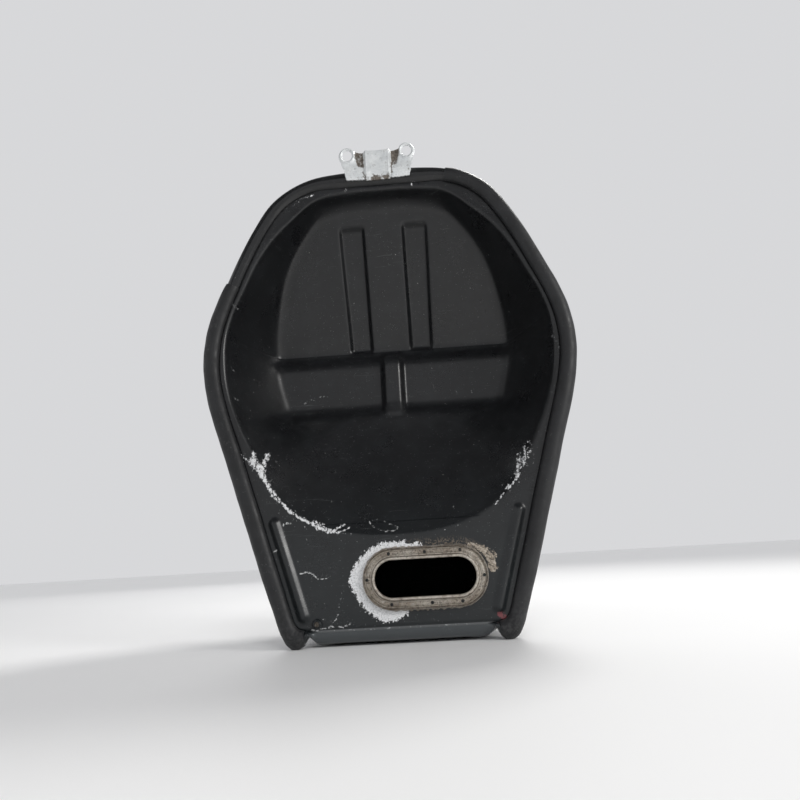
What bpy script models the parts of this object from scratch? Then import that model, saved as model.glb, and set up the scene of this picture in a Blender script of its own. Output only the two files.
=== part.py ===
"""Motorcycle fuel tank, standing upright on its rear end.

Frame: metres, +Z from the rear (seat) end up to the front (steering head) end,
X across the tank, -Y the underside with the air-box recess, +Y the top skin
with the filler cap.  The origin is under the middle of the bounding box.

All lengths below are typed in millimetres and scaled once by MM.
"""
import math

import bmesh
import bpy
from mathutils import Matrix, Vector

MM = 0.001

# ---------------------------------------------------------------- dimensions
SKIN = 1.0            # outer skin sheet
PAN = 1.2             # base pan sheet
GAP = 0.3             # clearance between touching pieces
Y_SHIFT = -116.5      # seam plane -> world, centres the bounding box on y = 0
HEM_D = 9.0           # depth of the rolled hem
HEM_K = 6             # steps round the hem
PLATE_Y = 6.0         # level of the flat rear plate of the base pan
STRIP_Y = 7.0         # level of the rear bend

CAP_Z = 375.0         # filler axis height
SEAT_Y = 226.0        # filler seat level
SEAT_R = 62.0
HOLE_R = 33.0

PUMP = (26.5, 62.5)   # pump opening centre (x, z)
PUMP_A = 33.0         # half straight length of the stadium
PUMP_R = 18.0         # end radius of the opening
RING_W = 12.5         # width of the flange ring

EYE_X, EYE_Z, EYE_R = 36.0, 555.0, 5.6

# Half outline of the seam hem, rear centre to front centre (x, z)
OUT = [(0, 3), (30, 3), (60, 3), (84, 3), (90, 8), (92, 12), (97, 4.5), (105, 0),
       (113.5, 3.5), (119, 13), (125, 30), (135, 58), (147, 94), (158, 128),
       (169.5, 163), (181, 199), (192, 231), (201, 262), (206, 290), (207, 315),
       (204, 343), (196, 371), (184, 402), (170, 436), (153, 471), (133, 503),
       (110, 522), (82, 534.5), (48, 539.5), (0, 540.5)]
# The hem's inner lip, same stations
LIP = [(0, 15.5), (30, 15.5), (60, 15.5), (84, 15.5), (89, 16), (93, 17), (96.5, 18),
       (100, 19.2), (103.5, 21.2), (107, 26), (111.5, 39), (120, 66), (131, 99.4),
       (141.5, 133.4), (153, 168.4), (164.5, 204.4), (175.3, 236), (184, 265.5),
       (189, 291), (190, 315), (187.2, 339.5), (180, 365.6), (168.5, 395.3),
       (154.7, 428.5), (138, 463), (120, 491), (101.5, 507), (77, 516.5),
       (46, 517.5), (0, 518)]
# Body outline above the hem, same stations; the first four make the flat heel
BODY = [(0, 0), (28, 0), (54, 0), (72, 0), (84, 1.5), (93, 5.5), (101, 11), (108, 18.5),
        (114, 28), (119, 39), (125, 53), (133, 74), (143, 102), (154, 132), (166, 165),
        (178, 199), (190, 231), (200, 262), (206, 290), (208, 315), (205.5, 343),
        (198, 371), (186.5, 402), (172.5, 436), (155, 471), (134, 503), (110, 524),
        (81, 537), (46, 543), (0, 545)]
# Levels of the top skin: depth, share of the way to the filler circle at the
# sides, at the rear and at the front
LEVELS = [(35, 0.0, 0.0, 0.0), (65, -0.01, 0.0, 0.01), (95, 0.04, 0.0, 0.05),
          (128, 0.14, 0.0, 0.15), (152, 0.26, 0.14, 0.28), (173, 0.41, 0.31, 0.43),
          (193, 0.57, 0.49, 0.58), (209, 0.73, 0.68, 0.74), (220, 0.87, 0.85, 0.88),
          (227, 0.965, 0.96, 0.965)]

# Half outline of the bowl recess and of its floor (x, z), bottom to top
BOWL = [(0, 103.4), (50, 108), (82, 117.8), (111, 134.7), (128, 151.5), (143, 177),
        (157, 203), (171, 235), (182.5, 270), (187, 300), (187, 330), (179, 365),
        (163, 402), (147, 436), (128, 462), (107, 482), (75, 508), (45, 512.5), (0, 513.5)]
FLOOR = [(0, 250), (60, 249), (112, 249), (124, 257), (133, 280), (143, 318), (146, 345),
         (143, 375), (133, 415), (118, 450), (98, 478), (72, 497), (45, 504), (0, 506)]
BOWL_C = (0.0, 320.0)
RIB_X = (24.0, 54.0)
RIB_Z = (342.0, 487.0)
RIB_D = 6.0
BEAD = ((127.0, 124.0), (97.5, 31.0))
BEAD_R = 7.0


# ------------------------------------------------------------------- helpers
def clear_scene():
    for ob in list(bpy.data.objects):
        bpy.data.objects.remove(ob, do_unlink=True)
    for coll in list(bpy.data.collections):
        bpy.data.collections.remove(coll)


clear_scene()
PARTS = bpy.data.collections.new("fuel_tank")
CUTS = bpy.data.collections.new("cutters")
bpy.context.scene.collection.children.link(PARTS)
bpy.context.scene.collection.children.link(CUTS)


def material(name, color, rough, metal):
    m = bpy.data.materials.get(name)
    if m is None:
        m = bpy.data.materials.new(name)
        m.use_nodes = True
        b = m.node_tree.nodes["Principled BSDF"]
        b.inputs["Base Color"].default_value = (*color, 1.0)
        b.inputs["Roughness"].default_value = rough
        b.inputs["Metallic"].default_value = metal
    return m


BLACK = ("black_paint", (0.018, 0.019, 0.021), 0.32, 0.0)
RUBBER = ("trim_rubber", (0.025, 0.025, 0.027), 0.6, 0.0)
RAW = ("raw_steel", (0.42, 0.38, 0.32), 0.5, 0.9)
WHITE = ("worn_bracket", (0.72, 0.72, 0.70), 0.4, 0.4)
INNER = ("inner_steel", (0.35, 0.35, 0.35), 0.45, 0.9)
ALU = ("cap_alloy", (0.62, 0.62, 0.63), 0.3, 0.95)
ZINC = ("zinc_screw", (0.55, 0.53, 0.48), 0.35, 0.95)
NBR = ("seal_rubber", (0.03, 0.03, 0.03), 0.7, 0.0)


def new_object(name, mesh, mat, coll=PARTS):
    ob = bpy.data.objects.new(name, mesh)
    coll.objects.link(ob)
    if mat is not None:
        # each piece carries its own material
        mesh.materials.append(material(name + "_" + mat[0], *mat[1:]))
    return ob


def cutter(name, mesh):
    ob = new_object(name, mesh, None, CUTS)
    ob.hide_render = True
    ob.display_type = 'WIRE'
    return ob


def smooth(ob, deg=35):
    ob.data.shade_smooth()
    ob.data.set_sharp_from_angle(angle=math.radians(deg))


def to_mesh(bm, name):
    bmesh.ops.recalc_face_normals(bm, faces=bm.faces)
    me = bpy.data.meshes.new(name)
    bm.to_mesh(me)
    bm.free()
    return me


def boolean(ob, tool, op='DIFFERENCE'):
    m = ob.modifiers.new("bool_" + tool.name, 'BOOLEAN')
    m.operation = op
    m.solver = 'EXACT'
    m.object = tool
    return m


def W(x, y, z):
    """Tank millimetres (y from the seam plane) to world metres."""
    return Vector((x * MM, (y + Y_SHIFT) * MM, z * MM))


def mirror_ring(half):
    """Right half list -> closed loop of points, starting at the rear centre."""
    left = [(-x, z) for x, z in reversed(half[1:-1])]
    return list(half) + left


def loft(rows, name, close_u=True, close_v=False, caps=False):
    """Skin a list of rows of world points."""
    bm = bmesh.new()
    vr = [[bm.verts.new(p) for p in row] for row in rows]
    n = len(rows[0])
    m = len(rows)
    for j in range(m if close_v else m - 1):
        a, b = vr[j], vr[(j + 1) % m]
        for i in range(n if close_u else n - 1):
            k = (i + 1) % n
            bm.faces.new((a[i], a[k], b[k], b[i]))
    if caps:
        bm.faces.new(list(reversed(vr[0])))
        bm.faces.new(vr[-1])
    return to_mesh(bm, name)


def smoothstep(a, b, v):
    t = max(0.0, min(1.0, (v - a) / (b - a)))
    return t * t * (3 - 2 * t)


def prism(points, y0, y1, name):
    """Closed prism of an outline in the XZ plane between two depths."""
    bm = bmesh.new()
    vs = [bm.verts.new(W(x, y0, z)) for x, z in points]
    f = bm.faces.new(vs)
    ext = bmesh.ops.extrude_face_region(bm, geom=[f])
    for v in ext["geom"]:
        if isinstance(v, bmesh.types.BMVert):
            v.co.y += (y1 - y0) * MM
    return to_mesh(bm, name)


def stadium(cx, cz, a, r, n_end):
    """Loop round a stadium: two straight sides and two half circles."""
    pts = []
    for k in range(n_end + 1):
        t = -math.pi / 2 + math.pi * k / n_end
        pts.append((cx + a + r * math.cos(t), cz + r * math.sin(t)))
    for k in range(n_end + 1):
        t = math.pi / 2 + math.pi * k / n_end
        pts.append((cx - a + r * math.cos(t), cz + r * math.sin(t)))
    return pts


def cylinders(spots, r, y0, y1, seg, name):
    """One mesh of several parallel cylinders along Y, for drilling."""
    bm = bmesh.new()
    for x, z in spots:
        mat = Matrix.Translation(W(x, (y0 + y1) / 2, z)) @ Matrix.Rotation(math.radians(-90), 4, 'X')
        bmesh.ops.create_cone(bm, cap_ends=True, cap_tris=False, segments=seg,
                              radius1=r * MM, radius2=r * MM, depth=abs(y1 - y0) * MM, matrix=mat)
    return to_mesh(bm, name)


CAP_M = Matrix.Translation(W(0, 0, CAP_Z)) @ Matrix.Rotation(math.radians(-90), 4, 'X')


def turned(name, profile, steps, mat, closed=False, at=CAP_M, coll=PARTS):
    """Profile (radius, height) in mm turned about the object's own Z axis."""
    me = bpy.data.meshes.new(name)
    verts = [(r * MM, 0.0, h * MM) for r, h in profile]
    edges = [(i, i + 1) for i in range(len(verts) - 1)]
    if closed:
        edges.append((len(verts) - 1, 0))
    me.from_pydata(verts, edges, [])
    ob = new_object(name, me, mat, coll)
    ob.matrix_world = at
    s = ob.modifiers.new("turn", 'SCREW')
    s.angle = 2 * math.pi
    s.steps = steps
    s.render_steps = steps
    s.use_merge_vertices = True
    s.merge_threshold = 0.00001
    s.use_smooth_shade = True
    return ob


# --------------------------------------------------------------- outer shell
def hem_point(i, u, off=0.0):
    """Point of the rolled hem at station i; u = 0 at the side wall, 1 at the lip."""
    o, l = Vector(OUT_L[i]), Vector(LIP_L[i])
    d = (l - o)
    d.normalize()
    w = REAR[i]
    # full roll on the sides, a quarter bend between the lobes
    phi = math.pi * u
    t_side, y_side = (1 - math.cos(phi)) / 2, HEM_D - (HEM_D + off) * math.sin(phi)
    phi2 = math.pi / 2 * u
    t_rear, y_rear = 1 - math.cos(phi2), 17 - (17 - STRIP_Y + off) * math.sin(phi2)
    t = t_side * (1 - w) + t_rear * w
    y = y_side * (1 - w) + y_rear * w
    oo, ll = o - d * off, l + d * off
    p = oo + (ll - oo) * t
    return p.x, y, p.y


def ring_points(half):
    return mirror_ring(half)


OUT_L = ring_points(OUT)
LIP_L = ring_points(LIP)
BODY_L = ring_points(BODY)
NRING = len(OUT_L)
REAR_HALF = [1, 1, 1, 1, 0.55] + [0] * (len(OUT) - 5)
REAR = REAR_HALF + list(reversed(REAR_HALF[1:-1]))


def body_point(i, y, b_side, b_rear, b_front):
    x, z = BODY_L[i]
    rho = 1 - smoothstep(0, 210, z)
    phi = smoothstep(400, 545, z)
    b = b_side + rho * (b_rear - b_side) + phi * (b_front - b_side)
    # knee hollows in the rear half of the sides
    hollow = math.exp(-((z - 120) / 75) ** 2) * smoothstep(30, 115, y) * (1 - smoothstep(185, 225, y))
    x *= 1 - 0.20 * hollow
    ang = math.atan2(z - 300, BODY_L[i][0])
    qx, qz = 66 * math.cos(ang), CAP_Z + 66 * math.sin(ang)
    return x + (qx - x) * b, y, z + (qz - z) * b


def make_outer_shell():
    rows = []
    # returned lip inside the hem
    rows.append([W(LIP_L[i][0], (HEM_D + 3.5) * (1 - REAR[i]) + (STRIP_Y + 4) * REAR[i], LIP_L[i][1])
                 for i in range(NRING)])
    for k in range(HEM_K, -1, -1):
        rows.append([W(*hem_point(i, k / HEM_K)) for i in range(NRING)])
    # the lobes fade into the body
    rows.append([W(*[a + (b - a) * 0.55 for a, b in
                     zip((OUT_L[i][0], 22.0 + 4 * REAR[i], OUT_L[i][1]), (BODY_L[i][0], 26.0, BODY_L[i][1]))])
                 for i in range(NRING)])
    for lv in LEVELS:
        rows.append([W(*body_point(i, *lv)) for i in range(NRING)])
    for r, y in ((66, 229.5), (SEAT_R, SEAT_Y), (HOLE_R, SEAT_Y)):
        row = []
        for i in range(NRING):
            ang = math.atan2(BODY_L[i][1] - 300, BODY_L[i][0])
            row.append(W(r * math.cos(ang), y, CAP_Z + r * math.sin(ang)))
        rows.append(row)
    me = loft(rows, "outer_shell")
    ob = new_object("outer_shell", me, BLACK)
    s = ob.modifiers.new("sheet", 'SOLIDIFY')
    s.thickness = SKIN * MM
    s.offset = -1.0
    s.use_even_offset = False
    smooth(ob, 50)
    return ob


# ------------------------------------------------------------------ base pan
def radial_table(points, centre):
    tab = []
    for x, z in points:
        dx, dz = x - centre[0], z - centre[1]
        tab.append((math.atan2(dz, dx), math.hypot(dx, dz)))
    tab.sort()
    return tab


BOWL_T = radial_table(BOWL, BOWL_C)
FLOOR_T = radial_table(FLOOR, BOWL_C)


def radial(tab, ang):
    if ang <= tab[0][0]:
        return tab[0][1]
    for (a0, r0), (a1, r1) in zip(tab, tab[1:]):
        if ang <= a1:
            t = (ang - a0) / (a1 - a0)
            return r0 + (r1 - r0) * t
    return tab[-1][1]


def floor_depth(x, z):
    ax = abs(x)
    if z >= 342:
        d = 105 - (z - 342) * 0.46
        rib = smoothstep(RIB_X[0] - 2, RIB_X[0] + 2, ax) * (1 - smoothstep(RIB_X[1] - 2, RIB_X[1] + 2, ax))
        rib *= smoothstep(RIB_Z[0], RIB_Z[0] + 2, z) * (1 - smoothstep(RIB_Z[1] - 3, RIB_Z[1] + 3, z))
        return d + RIB_D * rib
    if z >= 325:
        return 93 + 12 * (z - 325) / 17
    d = 93 - 15 * (1 - smoothstep(250, 262, z))
    ridge = 1 - smoothstep(9.5, 14, ax)
    return d - 8 * ridge * smoothstep(250, 262, z)


def pan_depth(x, z):
    ax = abs(x)
    dx, dz = ax - BOWL_C[0], z - BOWL_C[1]
    ang, r = math.atan2(dz, dx), math.hypot(dx, dz)
    rb, rf = radial(BOWL_T, ang), radial(FLOOR_T, ang)
    if r >= rb:
        return PLATE_Y
    if r <= rf:
        return floor_depth(x, z)
    s = (rb - r) / (rb - rf)
    fx, fz = BOWL_C[0] + rf * math.cos(ang), BOWL_C[1] + rf * math.sin(ang)
    edge = floor_depth(fx, fz)
    return PLATE_Y + (edge - PLATE_Y) * (1 - (1 - s) ** 1.35)


PAN_X = [0, 9.5, 14, 22, 26, 52, 56, 76, 96, 116, 132, 147, 164, 180, 194]
PAN_Z = [8, 40, 96, 108, 122, 140, 160, 182, 205, 228, 250, 262, 292, 325, 342, 344.5, 378, 412,
         445, 470, 484, 490, 498, 506, 513, 522]


def pump_spots():
    cx, cz = PUMP
    spots = [(cx - 36, cz + 24.6), (cx + 0.5, cz + 24.6), (cx + 36.5, cz + 24.6), (cx + 59, cz - 1),
             (cx + 35.5, cz - 24.6), (cx + 5.5, cz - 24.6), (cx - 35, cz - 24.6), (cx - 59, cz)]
    return spots


DRAIN = (-84.0, 23.0)


def make_base_pan():
    xs = sorted(set([-v for v in PAN_X] + PAN_X))
    rows = [[W(x, pan_depth(x, z), z) for x in xs] for z in PAN_Z]
    bm = bmesh.new()
    bmesh.ops.create_grid(bm, x_segments=len(xs) - 1, y_segments=len(PAN_Z) - 1, size=1.0)
    bm.verts.ensure_lookup_table()
    for j, row in enumerate(rows):
        for i, p in enumerate(row):
            bm.verts[j * len(xs) + i].co = p
    # split every quad along its more level diagonal
    for f in list(bm.faces):
        a, b, c, d = f.verts
        pair = (a, c) if abs(a.co.y - c.co.y) <= abs(b.co.y - d.co.y) else (b, d)
        if max(abs(a.co.y - c.co.y), abs(b.co.y - d.co.y)) > 1e-6:
            bmesh.utils.face_split(f, pair[0], pair[1])
    me = to_mesh(bm, "base_pan")
    if me.polygons[0].normal.y > 0:
        me.flip_normals()
    ob = new_object("base_pan", me, BLACK)
    s = ob.modifiers.new("sheet", 'SOLIDIFY')
    s.thickness = PAN * MM
    s.offset = -1.0
    s.use_even_offset = False
    # trimmed to the hem's inner lip
    trim = []
    n = len(LIP_L)
    for i in range(n):
        x, z = LIP_L[i]
        dx, dz = x - 0.0, z - 300.0
        l = math.hypot(dx, dz)
        if z < 16:
            trim.append((x, z + 0.7))
        else:
            trim.append((x - dx / l * 0.8, z - dz / l * 0.8))
    outline = cutter("pan_outline", prism(trim, -30, 160, "pan_outline"))
    boolean(ob, outline, 'INTERSECT')
    # side beads: hulls of two flattened balls each
    bm = bmesh.new()
    for sx in (-1, 1):
        balls = bmesh.new()
        for x, z in BEAD:
            bmesh.ops.create_uvsphere(balls, u_segments=10, v_segments=6, radius=BEAD_R * MM,
                                      matrix=Matrix.Translation(Vector((sx * x * MM, 0, z * MM))))
        spots = [v.co.copy() for v in balls.verts]
        balls.free()
        verts = [bm.verts.new((c.x, c.y * 0.62 + (PLATE_Y + 0.5 + Y_SHIFT) * MM, c.z)) for c in spots]
        bmesh.ops.convex_hull(bm, input=verts)
    bmesh.ops.delete(bm, geom=[v for v in bm.verts if not v.link_faces], context='VERTS')
    beads = cutter("pan_beads", to_mesh(bm, "pan_beads"))
    boolean(ob, beads, 'UNION')
    # pump opening, pump screw holes and the drain hole
    cx, cz = PUMP
    hole = cutter("pump_hole", prism(stadium(cx, cz, PUMP_A, PUMP_R + 0.8, 7), -20, 40, "pump_hole"))
    boolean(ob, hole)
    drill = cutter("pan_drill", cylinders(pump_spots() , 2.4, -5, 20, 8, "pan_drill"))
    boolean(ob, drill)
    drain = cutter("drain_drill", cylinders([DRAIN], 3.0, -5, 20, 10, "drain_drill"))
    boolean(ob, drain)
    smooth(ob, 40)
    return ob


# --------------------------------------------------------------- edge trims
def make_trim(name, first, last, left):
    """Rubber moulding over the hem between two outline stations."""
    rows = []
    lo, hi = sorted((first, last))
    for s in range(lo, hi + 1):
        i = (NRING - s) if left else s
        row = []
        x, z = OUT_L[i]
        d = Vector(LIP_L[i]) - Vector(OUT_L[i])
        d.normalize()
        row.append(W(x - d.x * 0.45, HEM_D + 5.0, z - d.y * 0.45))
        for k in range(0, HEM_K):
            u = k / HEM_K
            row.append(W(*hem_point(i, u, 0.45)))
        rows.append(row)
    me = loft(rows, name, close_u=False)
    ob = new_object(name, me, RUBBER)
    # normals must point away from the hem before the rubber is thickened outward
    bm = bmesh.new()
    bm.from_mesh(me)
    bm.faces.ensure_lookup_table()
    k = max(bm.faces, key=lambda f: -f.calc_center_median().y)
    if k.normal.y > 0:
        bmesh.ops.reverse_faces(bm, faces=bm.faces)
    bm.to_mesh(me)
    bm.free()
    s = ob.modifiers.new("rubber", 'SOLIDIFY')
    s.thickness = 2.0 * MM
    s.offset = 1.0
    s.use_even_offset = False
    smooth(ob, 50)
    return ob


# ---------------------------------------------------------------- pump ring
def sweep_stadium(name, profile, mat, n_end=8):
    """Closed profile (offset from the opening edge, depth) round the opening."""
    cx, cz = PUMP
    rows = []
    for off, y in profile:
        rows.append([W(x, y, z) for x, z in stadium(cx, cz, PUMP_A, PUMP_R + off, n_end)])
    me = loft(rows, name, close_u=True, close_v=True)
    return new_object(name, me, mat)


def make_pump_rings():
    top = PLATE_Y - GAP
    ring = sweep_stadium("pump_flange_ring", [
        (0.0, top), (0.0, 0.9), (0.8, 0.3), (2.6, 0.3), (3.4, 1.0), (3.6, 2.4),
        (10.6, 2.4), (12.0, 3.2), (RING_W, 4.4), (RING_W, top)], RAW)
    drill = cutter("ring_drill", cylinders(pump_spots(), 2.1, -5, 10, 8, "ring_drill"))
    boolean(ring, drill)
    smooth(ring, 30)
    back = PLATE_Y + PAN + GAP
    nut = sweep_stadium("pump_nut_ring", [
        (1.2, back), (RING_W - 1.0, back), (RING_W - 1.0, back + 4.5), (1.2, back + 4.5)], INNER, 6)
    drill2 = cutter("nut_drill", cylinders(pump_spots(), 2.1, 5, 18, 8, "nut_drill"))
    boolean(nut, drill2)
    smooth(nut, 30)


# ------------------------------------------------------------------ brackets
def make_front_bracket():
    t = 2.2
    y1 = -0.3 - GAP
    y0 = y1 - t
    def arc(cx, cz, r, a0, a1, n):
        return [(cx + r * math.cos(math.radians(a0 + (a1 - a0) * k / n)),
                 cz + r * math.sin(math.radians(a0 + (a1 - a0) * k / n))) for k in range(n + 1)]
    right = ([(9, 521), (26, 521), (28, 519), (39, 519), (42, 522), (42, 538), (45.5, 546)]
             + arc(EYE_X, EYE_Z + 3, 10.5, -20, 165, 9)
             + [(24.5, 550), (19, 547), (14.5, 549), (14.5, 560), (12, 562.5)])
    left = [(-x, z) for x, z in reversed(right)]
    me = prism(right + left, y0, y1, "front_bracket")
    ob = new_object("front_bracket", me, WHITE)
    # eyes, and the ears bent a little toward the underside
    eyes = cutter("bracket_eyes", cylinders([(-EYE_X, EYE_Z + 3), (EYE_X, EYE_Z + 3)], EYE_R, y0 - 5, y1 + 5, 12,
                                            "bracket_eyes"))
    boolean(ob, eyes)
    # raised centre pad
    bm = bmesh.new()
    bmesh.ops.create_cube(bm, size=1.0, matrix=Matrix.Translation(W(0, y0 - 1.2, 543)) @ Matrix.Diagonal((25 * MM, 3.2 * MM, 30 * MM, 1)))
    bmesh.ops.bevel(bm, geom=[e for e in bm.edges], offset=1.2 * MM, segments=1, affect='EDGES')
    pad = cutter("bracket_pad", to_mesh(bm, "bracket_pad"))
    boolean(ob, pad, 'UNION')
    smooth(ob, 30)
    return ob


def make_rear_bracket():
    """Tab on the seat side of the heel, its underside level with the heel."""
    pts = [(-26, 131.5), (26, 131.5), (26, 146), (18, 154), (-18, 154), (-26, 146)]
    bm = bmesh.new()
    vs = [bm.verts.new(W(x, y, 0.0)) for x, y in pts]
    f = bm.faces.new(vs)
    ext = bmesh.ops.extrude_face_region(bm, geom=[f])
    for v in ext["geom"]:
        if isinstance(v, bmesh.types.BMVert):
            v.co.z += 2.5 * MM
    me = to_mesh(bm, "rear_mount_bracket")
    ob = new_object("rear_mount_bracket", me, BLACK)
    bm = bmesh.new()
    for x in (-13, 13):
        bmesh.ops.create_cone(bm, cap_ends=True, segments=12, radius1=4.5 * MM, radius2=4.5 * MM, depth=12 * MM,
                              matrix=Matrix.Translation(W(x, 143.5, 0)))
    holes = cutter("rear_bolt_holes", to_mesh(bm, "rear_bolt_holes"))
    boolean(ob, holes)
    return ob


# ------------------------------------------------------------- inner pieces
def tube_object(name, pts, radius, mat, res=2):
    cu = bpy.data.curves.new(name, 'CURVE')
    cu.dimensions = '3D'
    cu.bevel_depth = radius * MM
    cu.bevel_resolution = res
    cu.use_fill_caps = True
    sp = cu.splines.new('POLY')
    sp.points.add(len(pts) - 1)
    for p, q in zip(sp.points, pts):
        v = W(*q)
        p.co = (v.x, v.y, v.z, 1.0)
    ob = bpy.data.objects.new(name, cu)
    PARTS.objects.link(ob)
    cu.materials.append(material(name + "_" + mat[0], *mat[1:]))
    return ob


def catmull(pts, per):
    out = []
    for i in range(len(pts) - 1):
        p0, p1, p2, p3 = (Vector(pts[max(i - 1, 0)]), Vector(pts[i]), Vector(pts[i + 1]),
                          Vector(pts[min(i + 2, len(pts) - 1)]))
        for k in range(per):
            t = k / per
            out.append(tuple(0.5 * ((2 * p1) + (p2 - p0) * t + (2 * p0 - 5 * p1 + 4 * p2 - p3) * t * t
                                    + (3 * p1 - p0 - 3 * p2 + p3) * t ** 3)))
    out.append(tuple(pts[-1]))
    return out


def make_inner():
    # drain pipe from the filler seat down to the rear left corner of the pan
    route = [(-46, 224.2, 375), (-46, 205, 374), (-52, 185, 350), (-70, 150, 250), (-80, 110, 130),
             (-84, 62, 42), (DRAIN[0], 34, DRAIN[1]), (DRAIN[0], 18, DRAIN[1]),
             (DRAIN[0], 2.6, DRAIN[1])]
    tube_object("drain_tube", catmull(route, 3), 2.6, INNER)
    turned("drain_boss", [(2.95, 1.6), (4.2, 1.0), (5.3, -0.6), (5.3, -2.0), (2.95, -2.0)], 10, BLACK, closed=True,
           at=Matrix.Translation(W(DRAIN[0], PLATE_Y - 2.0 - GAP, DRAIN[1])) @ Matrix.Rotation(math.radians(90), 4, 'X'))
    # slosh baffle, a pierced plate across the tank behind the lower bowl wall
    z0, z1 = 196.0, 197.5
    pts = [(-96, 80), (96, 80), (104, 100), (88, 150), (60, 168), (-60, 168), (-88, 150), (-104, 100)]
    bm = bmesh.new()
    vs = [bm.verts.new(W(x, y, z0)) for x, y in pts]
    f = bm.faces.new(vs)
    ext = bmesh.ops.extrude_face_region(bm, geom=[f])
    for v in ext["geom"]:
        if isinstance(v, bmesh.types.BMVert):
            v.co.z += (z1 - z0) * MM
    ob = new_object("internal_baffle", to_mesh(bm, "internal_baffle"), INNER)
    bm = bmesh.new()
    for x, y, r in ((-46, 118, 13), (0, 120, 17), (46, 118, 13), (-75.5, 131, 8)):
        bmesh.ops.create_cone(bm, cap_ends=True, segments=12, radius1=r * MM, radius2=r * MM, depth=20 * MM,
                              matrix=Matrix.Translation(W(x, y, z0)))
    boolean(ob, cutter("baffle_holes", to_mesh(bm, "baffle_holes")))


# --------------------------------------------------------------- filler cap
S = SEAT_Y
HINGE = (39.0, S + 7.6)           # above the filler axis, and depth
SCREW_R = 47.0
SCREW_A = (18, 162, 214, 270, 326)


def screw_spots():
    return [(SCREW_R * math.cos(math.radians(a)), CAP_Z + SCREW_R * math.sin(math.radians(a))) for a in SCREW_A]


def box_mesh(name, x0, x1, y0, y1, z0, z1):
    bm = bmesh.new()
    c = W((x0 + x1) / 2, (y0 + y1) / 2, (z0 + z1) / 2)
    bmesh.ops.create_cube(bm, size=1.0, matrix=Matrix.Translation(c) @ Matrix.Diagonal(
        ((x1 - x0) * MM, (y1 - y0) * MM, (z1 - z0) * MM, 1)))
    return to_mesh(bm, name)


def x_cylinder(name, x0, x1, y, z, r, seg):
    bm = bmesh.new()
    c = W((x0 + x1) / 2, y, z)
    bmesh.ops.create_cone(bm, cap_ends=True, segments=seg, radius1=r * MM, radius2=r * MM, depth=(x1 - x0) * MM,
                          matrix=Matrix.Translation(c) @ Matrix.Rotation(math.radians(90), 4, 'Y'))
    return to_mesh(bm, name)


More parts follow.
